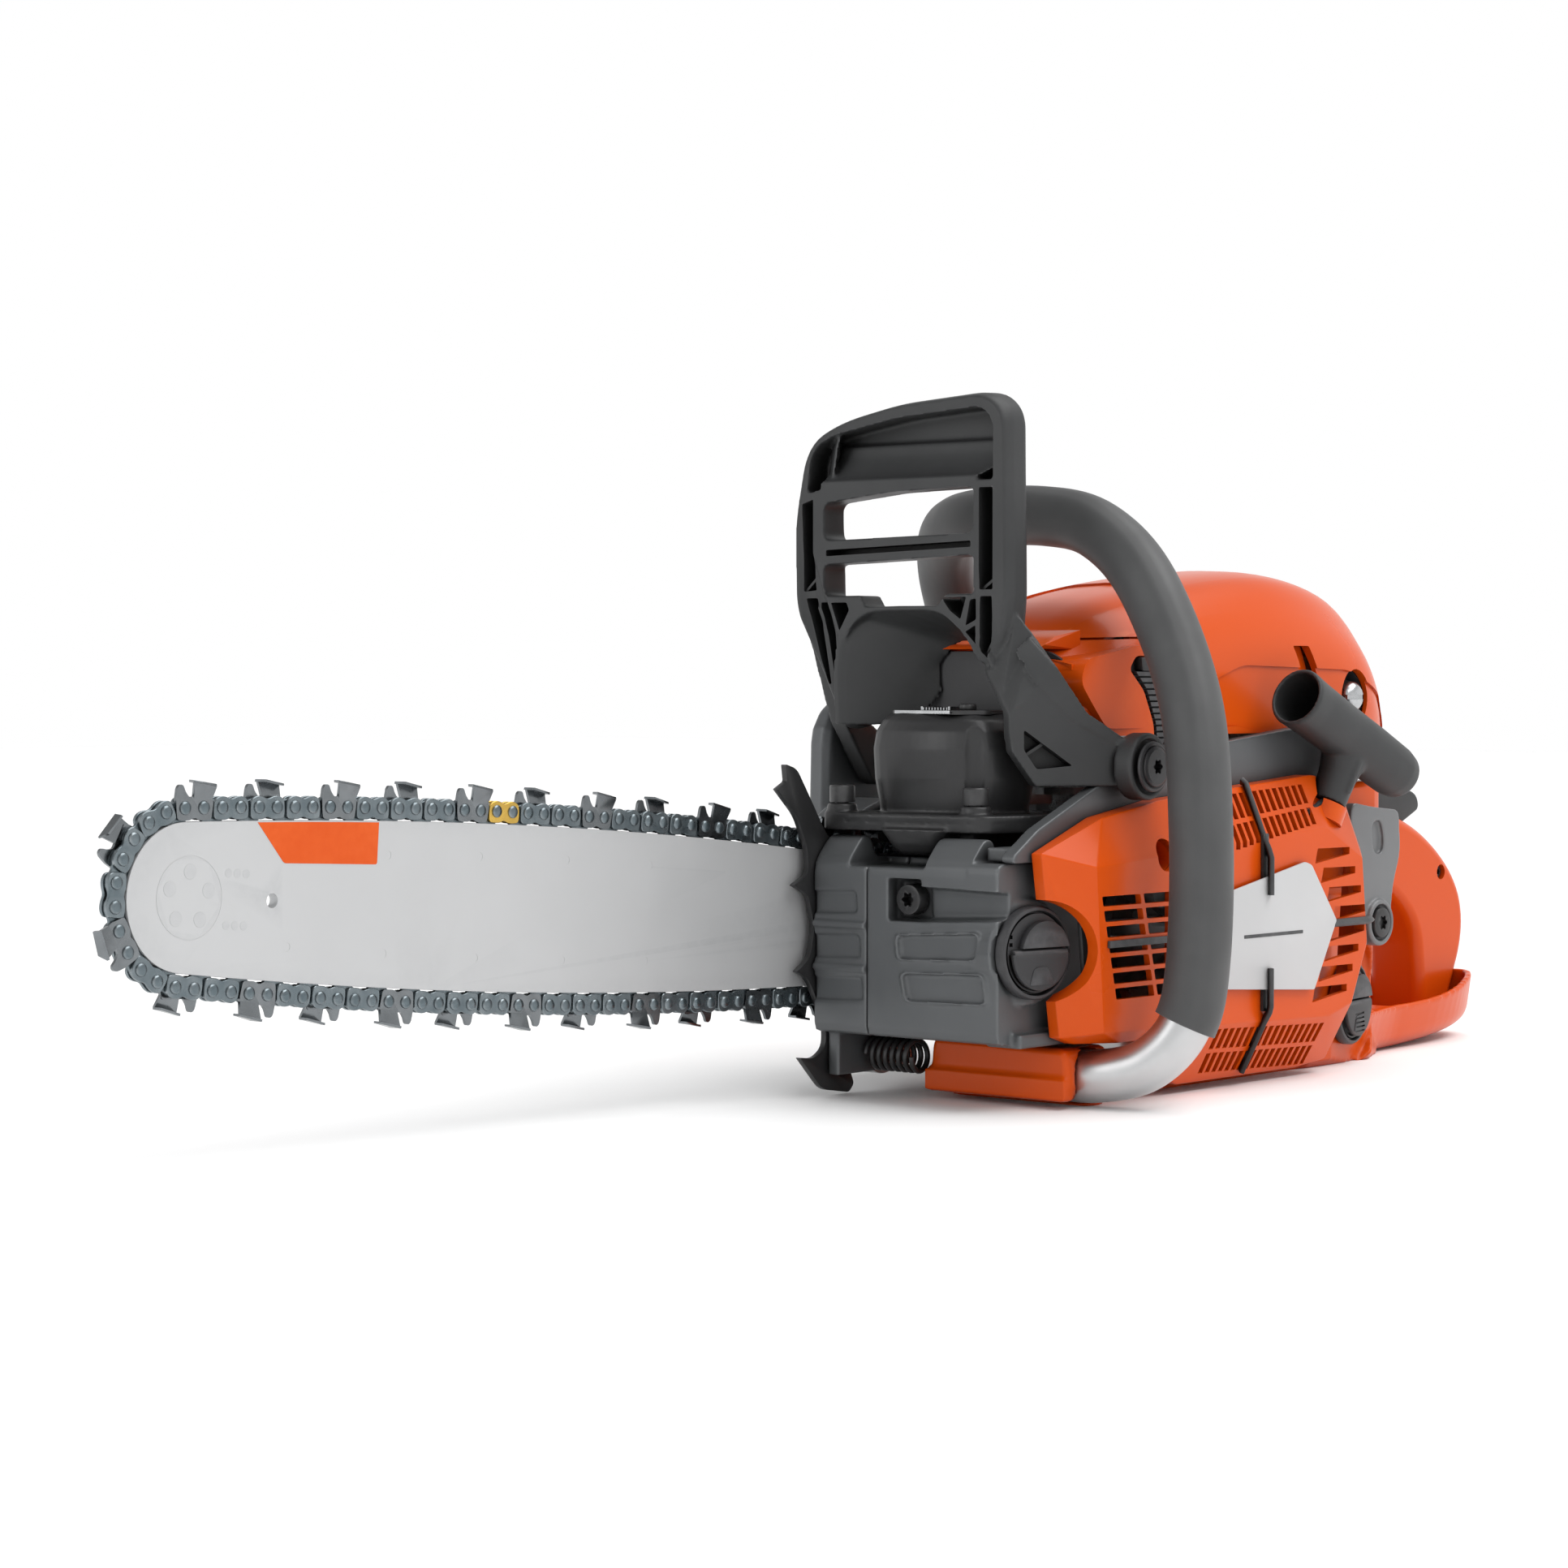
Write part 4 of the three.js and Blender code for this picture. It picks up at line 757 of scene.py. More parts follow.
def arch_section(t):
    """A ring of the hood: the outline of an arch, one wall thick."""
    left = -58 + 34 * t ** 0.85
    top = 197.2 - 12 * t
    foot = 151 + 14 * max(0.0, t - 0.72) / 0.28
    right = 21 + 3 * t
    right_foot = 174 + 3 * t
    line = [(left, foot), (left - 1, (foot + top) / 2), (left + 3, top - 5), (left + 10, top),
            (-4 + 8 * t, top), (8 + 6 * t, top - 7 + 4 * t), (right - 4, top - 16 + 8 * t),
            (right, right_foot)]
    smooth = [Vector(p) for p in spline([(y, z, 0) for y, z in line], 4)]
    outer = []
    for i, point in enumerate(smooth):
        ahead = smooth[min(i + 1, len(smooth) - 1)] - smooth[max(i - 1, 0)]
        outer.append(point + Vector((-ahead.y, ahead.x, 0)).normalized() * 2.2)
    x = 91.5 - 26.5 * t - 6 * (1 - t) * t
    return [(x, p.x, p.y) for p in smooth + outer[::-1]]


def guard_hood():
    return loft([arch_section(i / 14) for i in range(15)])


def arm_stretch(sections):
    """Solids between neighbouring stations of an arm; a station is its corner points."""
    return [hull(a + b) for a, b in zip(sections, sections[1:])]


def on_arm(x, z, depth=0.0):
    """A point on the arm's flat outer side, or that deep behind it."""
    return Vector((x, PIVOT_Y - ARM_SLOPE * (x - PIVOT_X), z)) - ARM_OUT * depth


def left_arm():
    """The arm down to the pivot: stations of top, bottom and thickness, and a raised crease."""
    stations = [
        ((86, 30, 197), (90.5, 19, 173), 5),
        ((84.5, 37.5, 188), (96, 30, 163), 6),
        ((82.1, 47.3, 175), (99.7, 37, 155.8), 7),
        ((78.5, 49.4, 168), (99.6, 37.1, 148), 7),
        ((75, 51.4, 162), (98.7, 37.6, 141.3), 7),
        ((71.4, 53.5, 156), (89.8, 42.8, 127.3), 7),
        ((53.9, 63.7, 144.5), (57.2, 61.8, 127), 3.4),
        ((46, 69, 144), (47, 69, 126), 5.5),
    ]
    sections = []
    for top, bottom, depth in stations:
        sections.append([Vector(p) - ARM_OUT * d for d in (0, depth) for p in (top, bottom)])
    arm = union(*arm_stretch(sections))
    crease = [((93, 33.5, 181), (86.5, 36.5, 187)), ((90.5, 43, 168), (83.4, 46.9, 176)),
              ((76, 51.4, 153), (71.6, 53.9, 157)), ((60, 60.6, 143.4), (57, 62.6, 146))]
    outward = ARM_OUT * 1.1
    bead = [[Vector(a), Vector(b), Vector(a) + outward * 0.2, Vector(b) + outward] for a, b in crease]
    return union(arm, *arm_stretch(bead))


def arm_pocket(arm):
    """The dark three-sided pocket in the arm, with a thin rib across it."""

    def flat(points, low, high):
        return loft([[on_arm(x, z, depth) for x, z in points] for depth in (low, high)])

    outline = [(p.x, p.y) for p in rounded([(94.4, 150), (76.2, 135.5), (89.6, 134.2), (94.4, 142)], 1.1, 3)]
    cut(arm, flat(outline, 5.8, -4))
    return union(arm, flat([(94.6, 138.2), (94.6, 139.6), (82.2, 148.2), (82.2, 146.8)], 6.6, 1.6))


def right_arm():
    sections = [
        [(80, -80, 200), (91, -79, 200), (80, -68, 200), (91, -67, 200)],
        [(62, -77, 154), (76, -76, 152), (62, -69, 154), (76, -68, 152)],
        [(42, -77, 142), (58, -77, 129), (42, -69, 142), (58, -69, 129)],
    ]
    return union(*arm_stretch(sections), disc(10, PIVOT_X, PIVOT_Z, -77, -69))


def hand_guard():
    shell = cut(leaned(guard_frame()), guard_scoop())
    boss = lathe([(13.6, 0), (13.6, 7.6), (12.9, 8.6), (11.4, 8.6), (11, 7.4), (9.5, 7.2)],
                 (PIVOT_X, 61.4, PIVOT_Z), Y_AXIS, 48)
    union(shell, guard_hood(), right_arm(), left_arm(), boss)
    cut(shell, disc(4.5, PIVOT_X, PIVOT_Z, -90, -60), disc(4.5, PIVOT_X, PIVOT_Z, 50, 80))
    shell = fused(shell, 0.75, 3)
    arm_pocket(cut(shell, *guard_cells()))
    piece(shell, "hand_guard_moulding", "hand_guard", sharp=60)


def torx(thing, centre, axis, radius, depth):
    """A six-lobed socket, sunk into the end of a screw."""
    sizes = [radius * (0.86 + 0.14 * math.cos(6 * angle)) for angle in turns(48)]
    line = [(size * math.cos(angle), size * math.sin(angle)) for size, angle in zip(sizes, turns(48))]
    tool = prism(line, -depth, 2, "z")
    return cut(thing, moved(tool, Matrix.Translation(centre) @ basis(axis)))


def cap_screw(name, node, seat, axis, radius, height, shank, length, material=None):
    """A round-headed screw with a six-lobed socket."""
    profile = [(shank * 0.8, -length), (shank, -length + 1), (shank, 0), (radius - 0.2, 0), (radius, 0.4),
               (radius, height - 0.9), (radius - 0.3, height - 0.3), (radius - 1, height)]
    made = torx(lathe(profile, seat, axis, 40), point_on(seat, axis, height), axis, radius * 0.5,
                height * 0.6)
    piece(made, name, node, None if node else "black_steel", material)


def guard_bolt():
    seat = (PIVOT_X, 70.6, PIVOT_Z)
    profile = [(3.9, -21), (3.9, 0), (10, 0), (10.2, 0.6), (10, 1.4), (9, 1.9), (8.2, 1.6), (8, 2.6),
               (7, 3.2)]
    made = torx(lathe(profile, seat, Y_AXIS, 48), point_on(seat, Y_AXIS, 3.2), Y_AXIS, 3.2, 2.5)
    piece(made, "guard_bolt_head", "guard_pivot_bolt", material=FINISH["black_plastic"])


hand_guard()
guard_bolt()


# ---- muffler ------------------------------------------------------------
MUFFLER_SCREWS = ((111, -40), (106, 25))


def shrunk(line, inset):
    centre = sum((Vector(p) for p in line), Vector((0, 0))) / len(line)
    return [p - (p - centre).normalized() * inset for p in (Vector(q) for q in line)]


def muffler():
    """A domed can over a folded flange, with an outlet neck, two screws and a top plate."""
    plan = rounded([(108, -32), (112, 0), (105, 24), (88, 30), (66, 30), (66, -32)], 14)
    rings = []
    for z, inset in ((112, 2), (116, 3), (119, 2.6), (130, 0.6), (142, 0), (149, 1.2), (153.5, 4),
                     (156, 7.5), (157, 12)):
        rings.append([(*p, z) for p in shrunk(plan, inset)])
    dome = loft(rings)
    flange = rounded([(118, -36), (118, -46), (106, -47), (64, -38), (64, 36), (88, 42), (104, 37),
                      (113, 34)], 8)
    body = union(dome, prism(flange, 109, 112, "z"), prism(shrunk(flange, 1.1), 111.9, 113.1, "z"),
                 prism(flange, 113, 116, "z"))
    foot = rounded([(104, -24), (102, 18), (66, 24), (66, -28)], 10)
    neck = []
    for z, s in ((110, 0), (104, 3), (101, 5), (99.6, 7)):
        ring = rounded([(122 - s, -13 + s), (119 - s, 17 - s), (102, 17 - s), (102, -13 + s)], 5)
        neck.append([(*p, z) for p in ring])
    union(body, prism(foot, 100, 110, "z"), loft(neck))
    for x, y in MUFFLER_SCREWS:
        union(body, rod(6.6, (x, y, 114), (x, y, 119.6), 32, 6))
        cut(body, rod(3.3, (x, y, 105), (x, y, 130)), rod(6.2, (x, y, 119.6), (x, y, 160)))
    cut(body, rod(8, (60, -14, 129), (90, -14, 129)))
    piece(fused(body, 0.7, 4), "muffler_can", "muffler", sharp=55)
    for i, (x, y) in enumerate(MUFFLER_SCREWS):
        seat = (x, y, 120)
        profile = [(2.7, -9), (2.7, 0), (5, 0), (5.2, 0.4), (5.2, 6.4), (4.8, 6.9), (4.2, 7)]
        made = torx(lathe(profile, seat, Z_AXIS, 40), (x, y, 127), Z_AXIS, 2.9, 4)
        piece(made, f"muffler_screw_head_{i}", f"muffler_screw_{i}")
    top = slab([(102, -22), (104, 12), (94, 22), (72, 22), (72, -24)], 3, 155.8, 157.6, "z")
    piece(bevelled(top, 0.4), "muffler_top_plate", slot="black_steel")
    strip = slab([(102.6, -19), (104.6, 11), (105.2, 11), (103.2, -19)], 0.2, 156.2, 157.5, "z", 3)
    piece(bevelled(strip, 0.2), "muffler_plate_edge", slot="steel")
    screen()


def screen():
    """The spark screen: bars side by side on the muffler's top, and a screw."""
    wires = [box(84, 96, -10 + i * 1.5, -9.4 + i * 1.5, 157.4, 158.6) for i in range(9)]
    wires += [box(84, 96, y, y + 1, 157.3, 159) for y in (-11, 3)]
    piece(group(wires), "spark_screen", slot="steel")
    cap_screw("muffler_plate_screw", None, (92, 10, 157.6), Z_AXIS, 3.6, 2.6, 2, 2)


def heat_wall():
    """The sheet between the muffler and the cover."""
    sheet = slab([(-40, 147.6), (42, 147.6), (40, 176), (30, 181.6), (-30, 181.6), (-40, 170)], 4, 62.6, 64.4,
                 "x")
    piece(bevelled(sheet, 0.4), "heat_wall_sheet", slot="black_plastic")


muffler()
heat_wall()


# ---- crankcase ----------------------------------------------------------
CASE_FRONT = 127


def relief(outline, depth):
    """The tool for a shallow panel in the front face."""
    return slab(outline, 2.5, CASE_FRONT - depth, CASE_FRONT + 5, "x")


def crankcase_right():
    """The half on the bar's side, with three sunk panels and two ribs between them."""
    shell = from_cad("crankcase_right")
    rows = [
        [(-45, 75), (-45, 84.5), (-19.5, 85.5), (-18.7, 76)],
        [(-45, 57), (-45, 67), (-17.8, 68), (-16.9, 58)],
        [(-45, 40), (-45, 50), (-16.4, 51), (-15.6, 41)],
    ]
    cut(shell, *[relief(row, 1.3) for row in rows])
    lips = [box(126, 128.4, -41.5, -14.6, z - 1.1, z + 1.1) for z in (71.3, 54)]
    union(shell, *lips)
    piece(fused(shell, 0.7, 3), "crankcase_half_right", "crankcase_right", sharp=60)


def crankcase_left():
    """The half on the starter's side, with the trough of the case screw and two raised panels."""
    shell = from_cad("crankcase_left")
    trough = hull([(x, y, z) for x, grow in ((119.4, 0), (130, 1.6)) for y, z in
                   ((13, 75 - grow), (13, 87 + grow), (56, 77 - grow), (56, 86 + grow))])
    deep = hull([(x, y, z) for x, grow in ((118, 0), (130, 0.8)) for y, z in
                 ((-2 - grow, 75 - grow), (-2 - grow, 90 + grow), (14, 75 - grow), (13, 90 + grow))])
    cut(shell, trough, deep)
    for panel in ([(2, 58.5), (1, 68.5), (44, 71), (43, 60)], [(6, 42), (3.5, 53.5), (46, 55), (48, 43)]):
        middle = sum((Vector(p) for p in panel), Vector((0, 0))) / 4
        ring = slab(panel, 3, 124, 128.2, "x")
        inner = [middle + (Vector(p) - middle) * 0.93 for p in panel]
        union(shell, ring)
        cut(shell, relief(inner, 0.8))
    piece(fused(shell, 0.7, 3), "crankcase_half_left", "crankcase_left", sharp=60)


def side_band():
    """The casting between starter and cover, round the hand guard's pivot."""
    band = slab([
        (122, 98.3), (122, 101), (106, 111), (62, 129), (57, 141, 8), (50, 145, 8), (42, 142, 8),
        (34, 138, 4), (-42, 145.6, 6), (-92, 150.5, 12), (-106, 144, 10), (-105, 126, 8), (-42, 118),
        (36, 112), (76, 106), (104, 98.3),
    ], 2, 50, 56)
    boss = disc(9, PIVOT_X, PIVOT_Z, 52, 59.5)
    sheet = union(band, boss, box(80, 118, 40, 52, 98.5, 104))
    cut(sheet, disc(4.3, PIVOT_X, PIVOT_Z, 45, 70))
    piece(fused(sheet, 0.6, 3), "side_band_casting", "side_band", sharp=60)


crankcase_right()
crankcase_left()
side_band()
cap_screw("case_screw", "case_bolt", (118.6, 5.5, 82.5), X_AXIS, 6.2, 6.2, 4, 14, FINISH["black_steel"])


# ---- plates at the bar's root -------------------------------------------
def spike():
    """The toothed plate at the bar's root."""
    line = [
        (137, 134, 3), (144, 136, 1), (143, 129, 1), (149, 126, 0.6), (137, 115, 4), (130, 101, 5),
        (130, 91, 3), (139, 87, 0.6), (130, 83, 3), (126, 69, 4), (129, 57, 3), (137, 52, 0.6),
        (130, 49, 4), (119, 30, 6), (119, 20, 4), (126, 16, 3), (135, 17, 0.6), (121, 3, 4),
        (104, 0.5, 2), (101, 4, 1.5), (105, 13, 4), (106, 24, 5), (108, 37, 4), (108, 100, 4),
        (118, 106, 6), (128, 121, 5),
    ]
    plate = slab(line, 0.0, -44.6, -42)
    cut(plate, disc(3.4, 111, 12, -50, -40))
    piece(bevelled(plate, 0.45), "spike_plate", "spike_bumper")


def catcher():
    plate = slab([(60, 10), (84, 6), (96, 12), (92, 23), (60, 23)], 4, -52, -42)
    cut(plate, disc(2.6, 86, 17, -60, -45))
    piece(bevelled(plate, 1.2, 3), "catcher_plate", "chain_catcher")


spike()
catcher()


# ---- top cover ----------------------------------------------------------
# Stations from front to back: x, side height, crown height, half width low and high.
COVER_STATIONS = ((60, 174, 185, 46, 33), (26, 184, 202.5, 50, 37), (-30, 190, 213, 51, 37),
                  (-94, 190, 217.5, 51, 35), (-145, 180, 209.5, 49, 31), (-172, 165, 191, 41, 25),
                  (-185, 157, 171, 30, 15))
COVER_FLOOR = 147
KNOB_X, KNOB_Z = -137, 162


def cover_form(inset, floor):
    """The cover's rounded body, drawn in from its outside by an inset."""
    rings = []
    for x, *sizes in spline(COVER_STATIONS, 7):
        side, crown, low, high = [size - inset for size in sizes]
        drop = 19 * min(1.0, max(0.0, (-x - 108) / 22))  # the rear reaches lower
        half = rounded([(0, crown, 0), (high * 0.6, crown - 0.8, 10), (high, crown - 6, 12),
                        (low, side - 3, 14), (low, floor - drop, 0)], 0, 7)[:-1]
        half = [p for p in half if p.x > 0.01] + [Vector((low, floor - drop))]
        other = [(x, -p.x, p.y) for p in reversed(half)]
        rings.append([(x, p.x, p.y) for p in half] + [(x, 0, floor - drop)] + other + [(x, 0, crown)])
    first, last = rings[0], rings[-1]
    nose = []
    for share, grow in ((0.0, 0.9), (0.5, 0.96)):
        nose.append([(x + 3 * (1 - share) - inset, y * grow, floor + (z - floor) * grow)
                     for x, y, z in first])
    tail = [[(x - 3 + inset, y * 0.8, floor + (z - floor) * 0.86) for x, y, z in last]]
    rings[0] = [(x - inset * 0.5, y, z) for x, y, z in first]
    return loft(nose + rings + tail)


def cover_band(line, depth, axis="y", low=-80, high=80):
    """A shallow step in the cover's skin, over an outline."""
    skin = cut(cover_form(-1, COVER_FLOOR - 8), cover_form(depth, COVER_FLOOR - 9))
    return boolean(skin, prism(line, low, high, axis), "INTERSECT")


def top_cover():
    """A hollow hood with a front lip, a cheek over the air intake, and stepped panels."""
    shell = cover_form(0, COVER_FLOOR)
    lip_half = [(67, 27, 182.4), (66, 29, 184), (50, 35, 182), (50, 35, 190), (60, 30, 187.5)]
    lip = hull([(x, y * side, z) for side in (1, -1) for x, y, z in lip_half])
    cheek_line = [(20, 150), (52, 150), (60, 158), (70, 169), (66, 178), (30, 184), (10, 184)]
    cheek = loft([[(p.x, y, p.y) for p in rounded(cheek_line, radius)]
                  for y, radius in ((30, 5), (46, 5), (50, 4.5))])
    ridge = hull([(62, 20, 180), (68, 44, 176), (62, 20, 176), (68, 44, 172), (30, 50, 181), (30, 40, 183)])
    union(shell, lip, cheek, ridge)
    shell = bevelled(shell, 0.6, 2, 32)
    panel = rounded([(50, -24), (50, 26), (20, 33), (-16, 30), (-16, -24)], 8)
    sides = rounded([(-8, 150, 0), (-8, 165, 8), (-44, 176), (-130, 174), (-176, 160), (-176, 120, 0),
                     (-116, 120, 0), (-104, 142, 4), (-40, 150, 0)], 6)
    cut(shell, cover_band(panel, 1.0, "z", 150, 230), cover_band(sides, 1.1))
    seam = [(72, 185.2), (30, 186.4), (-6, 187), (-6, 187.9), (30, 187.4), (72, 186.2)]
    cut(shell, cover_band(seam, 1.5), prism(seam[:2] + [(26, 186.5), (26, 187.4)] + seam[4:], 38, 60))
    cut(shell, cover_form(3, COVER_FLOOR - 5))
    gap = rounded([(2, 138, 0), (18.6, 138, 0), (20, 152), (26.4, 165.4), (36.5, 174), (32, 179.6),
                   (2, 179.6)], 2.5)
    notch = rounded([(-106.4, 167), (-97.6, 184.4), (-84.6, 184.4), (-92.2, 167.4)], 1.0)
    knob_room = lathe([(12, -14), (12, 0), (12.6, 3), (14, 6)], (KNOB_X, 47, KNOB_Z), Y_AXIS, 40)
    cut(shell, prism(gap, 43, 60), prism(notch, 45.2, 60), knob_room)
    piece(shell, "top_cover_skin", "top_cover", sharp=34, weighted=True)
    back = prism(notch, 44.4, 45)
    piece(bevelled(back, 0.1), "notch_floor", slot="orange_plastic")
    cup = lathe([(13.4, 0), (13.4, 9), (12, 9), (12, 1.2), (4.6, 1.2), (4.6, 0)], (KNOB_X, 35.2, KNOB_Z),
                Y_AXIS, 40)
    piece(cup, "knob_cup", slot="black_plastic", sharp=40)


def louvre():
    """The air intake's upright row of slats, between a cap and a foot."""
    line = rounded([(4, 141, 0), (17, 141, 0), (18.5, 152), (25, 166), (34, 174.5), (31, 178.5),
                    (4, 178.5)], 2)
    plate = prism(line, 45.8, 47.4)
    for i in range(13):
        low = 142 + 2.5 * i
        ends = ((46, low), (46, low + 1.5), (50.6, low - 0.6), (50.6, low + 1.1))
        blade = hull([(x, *end) for x in (0, 40) for end in ends])
        union(plate, boolean(prism(line, 46, 50.8), blade, "INTERSECT"))
    piece(plate, "louvre_slats", "intake_louvre")
    block = slab([(13, 173.4), (29, 173.4), (30, 179), (11, 179)], 1, 46, 51.4)
    piece(bevelled(block, 0.5), "louvre_cap", slot="dark_plastic")
    foot = slab([(3.5, 122), (9, 122), (17, 134), (18, 142), (3.5, 142)], 1, 56, 57)
    rungs = [prism(rectangle(4, 16.8, low, low + 1.3, 0.2), 56.8, 58.3) for low in (136.4, 139)]
    rungs.append(prism([(4.4, 124.6), (10, 124.6), (14.6, 134), (4.4, 134)], 56.8, 58.3))
    piece(bevelled(union(foot, *rungs), 0.2), "louvre_foot", slot="dark_plastic")


def cover_knob():
    stem = lathe([(4, -2), (4, 4.5), (7.4, 5), (7.4, 8), (7, 9.6)], (KNOB_X, 36, KNOB_Z), Y_AXIS, 40)
    dome = lathe([(7.2, 9), (7, 10.6), (6.2, 12.4), (4.6, 13.8), (2.4, 14.4), (0.6, 14.6)],
                 (KNOB_X, 36, KNOB_Z), Y_AXIS, 40)
    slot = box(KNOB_X - 10, KNOB_X + 10, 48.4, 53, KNOB_Z - 1, KNOB_Z + 1)
    piece(cut(union(stem, dome), slot), "knob_head", "cover_knob", sharp=40)


top_cover()
louvre()
cover_knob()


# ---- starter side -------------------------------------------------------
STARTER_Y = 75
# The cover's outlines in X and Z: its flat outer face and its foot on the crankcase.
STARTER_OUTER = ((93, 96.5), (76, 96.5), (37, 96.5), (0, 96), (-72, 107), (-101, 93), (-105, 56), (-93, 31),
                 (-75, 26.5), (88, 31))
STARTER_BASE = ((112, 102), (76, 115), (37, 121), (-75, 129), (-96, 127), (-120, 96), (-114, 40), (-92, 6),
                (-70, 4), (20, 4), (38, 22), (100, 29))
# A cap: the centre of its face, and the angle its axis makes with X.
OIL_CAP = ((110, 59.5, 63), 80)
FUEL_CAP = ((-131, 53.5, 27), 100)
ROPE_HOLE = Vector((-84, 68, 117))
PULLEY_EDGE = Vector((-14, 66, 86.5))
PULL = Vector((-0.38, 0.15, 0.913)).normalized()


def cap_way(cap):
    angle = math.radians(cap[1])
    return Vector((math.cos(angle), math.sin(angle), 0))


def starter_form(inset, outer_y, base_y):
    """The starter cover's solid between its two outlines, drawn in by an inset."""
    middle = Vector((0, 66))

    def drawn_in(point):
        way = Vector(point) - middle
        return middle + way * (1 - inset / way.length)

    far = [(p.x, outer_y, p.y) for p in map(drawn_in, STARTER_OUTER)]
    near = []
    for point in map(drawn_in, STARTER_BASE):
        shoulder = base_y + (8 if point.y > 100 and point.x < 90 else 5)
        near += [(point.x, y, point.y) for y in (base_y, shoulder)]
    return hull(far + near)


def slot_on_slope(x0, x1, foot, way, s0, s1):
    """A slot through a slope that starts at foot (Y, Z) and runs along a (Y, Z) way."""
    across = Vector((abs(way.y), math.copysign(abs(way.x), way.y)))
    corners = [foot + way * s + across * depth for s in (s0, s1) for depth in (-7, 5)]
    return hull([(x, c.x, c.y) for x in (x0, x1) for c in corners])


def starter_slots():
    """Two rows of slots in the upper slope and two in the lower one."""
    tools = []
    for i in range(15):
        x = -66 + 4.9 * i
        foot = Vector((STARTER_Y, 96 + max(0.0, -x) * 0.153))
        slope = Vector((65, 126.3 - (x + 66) * 0.05)) - foot
        half = slope.length / 2
        spans = ((2.6, half - 1), (half + 1, 2 * half - 1.6))
        tools += [slot_on_slope(x, x + 3.1, foot, slope.normalized(), *span) for span in spans]
    for i in range(17):
        x = -74 + 4.9 * i
        foot = Vector((STARTER_Y, 30 + min(0.0, x) * 0.045))
        way = (Vector((62, 5)) - foot).normalized()
        tools += [slot_on_slope(x, x + 3.1, foot, way, low, low + 9.6) for low in (3.6, 15.2)]
    return tools


def starter_fins():
    """Long openings beside the label, each under a thin fin."""
    tools = []
    for i in range(8):
        z = 33 + 8.4 * i
        x = -79 + 0.55 * abs(z + 3 - 67)
        tools.append(prism([(x, z), (x - 2, z + 6.4), (x - 27, z + 6.2), (x - 27, z + 3.2)], 62, 90))
    return tools


def front_vents():
    """Openings between thin bars, with one slanted post."""
    tools = []
    levels = [43.6, 49.8, 56.0, 62.2, 68.4, 74.6, 80.8, 84.8]
    for low, high in zip(levels, levels[1:]):
        top = high if high == levels[-1] else high - 1.7
        lean_low, lean_top = (low - 44) * 0.24, (top - 44) * 0.24
        front = [(79.8 + lean_low, low), (79.8 + lean_top, top), (53.9 + lean_top, top),
                 (53.9 + lean_low, low)]
        rear = [(51.7 + lean_low, low), (51.7 + lean_top, top), (43, top), (43, low)]
        tools += [slab(line, 0.8, 60, 90, steps=3) for line in (front, rear)]
    return tools


def starter_cover():
    """A thin shell with its openings, a boss for the rope and room for the oil cap."""
    outer = bevelled(cut(starter_form(0, STARTER_Y, 57), box(34, 130, 50, 80, -5, 26)), 3.4, 5, 14)
    inner = cut(starter_form(4, STARTER_Y - 2.7, 50), box(30, 130, 40, 80, -5, 29.5))
    way = cap_way(OIL_CAP)
    cap_room = rod(20.9, point_on(OIL_CAP[0], way, -30), point_on(OIL_CAP[0], way, 30), 56)
    boss = rod(9, ROPE_HOLE - PULL * 8, ROPE_HOLE - PULL * 0.4, 40)
    shell = union(cut(outer, inner), disc(5, 0, CRANK_Z, 62, 73.5), boss)
    cut(shell, cap_room, disc(6.6, 45, 99.5, 50, 90), *starter_slots(), *starter_fins(), *front_vents())
    cut(shell, rod(9.8, ROPE_HOLE - PULL * 0.4, ROPE_HOLE + PULL * 40, 40),
        rod(2.6, PULLEY_EDGE, ROPE_HOLE + PULL * 8))
    piece(shell, "starter_cover_skin", "starter_cover", weighted=True)
    duct = slab([(76, 46), (88, 46), (92, 82), (80, 82)], 4, 64, 66)
    piece(bevelled(duct, 0.5), "cooling_duct_edge", slot="dark_plastic")
    rail = slab([(42, 73.2), (90, 73.2), (90, 74.9), (42, 74.9)], 0.4, 68.4, 70.6, steps=3)
    piece(rail, "cooling_duct_rail", slot="dark_plastic")
    bore = cut(disc(7.6, 45, 99.5, 62.5, 71.8), disc(6.6, 45, 99.5, 64, 80))
    piece(bore, "bore_cup", slot="orange_plastic")


def label_plate():
    line = rounded([(-76.6, 67.4), (-57, 91.8, 1.5), (-52, 93.2, 1.5), (36, 77.4), (36, 45),
                    (-59.4, 38.8, 1)], 1)
    piece(bevelled(prism(line, 76.8, 77.8), 0.3), "label_face", "label_plate")
    strip = prism(rectangle(-50, -6, 63.2, 64.6, 0.3), 77.7, 77.95)
    piece(strip, "label_strip", slot="dark_plastic")


def bar_section(width, height, radius):
    corners = [(-width, -height), (width, -height), (width, height), (-width, height)]
    return lambda share: rounded(corners, radius, 3)


def starter_spider():
    """Thin bars bent over the cover that hold the label from above, from below and from the rear."""
    x = -24
    upper = ((64.2, 127.6), (66, 126.4), (75.8, 102.8), (77.8, 99), (78.9, 96), (78.9, 80.5))
    lower = ((64.4, 6), (65.4, 8), (75.8, 28), (78.3, 32), (78.9, 34), (78.9, 50))
    rear = ((-112, 72.6), (-106, 75.4), (-102, 76.4), (-75.4, 76.4))
    bars = [swept([Vector((x, *p)) for p in path], bar_section(2.0, 1.1, 0.8)) for path in (upper, lower)]
    bars.append(swept([Vector((*p, 66)) for p in rear], bar_section(1.1, 1.6, 0.7)))
    under = prism(rectangle(x - 2, x + 2, 32, 106, 1), STARTER_Y + 0.3, STARTER_Y + 1.5)
    side = box(-62, 86, STARTER_Y + 0.3, STARTER_Y + 1.5, 64.4, 67.2)
    piece(group([*bars, union(under, side)]), "label_frame", "starter_spider", sharp=40)


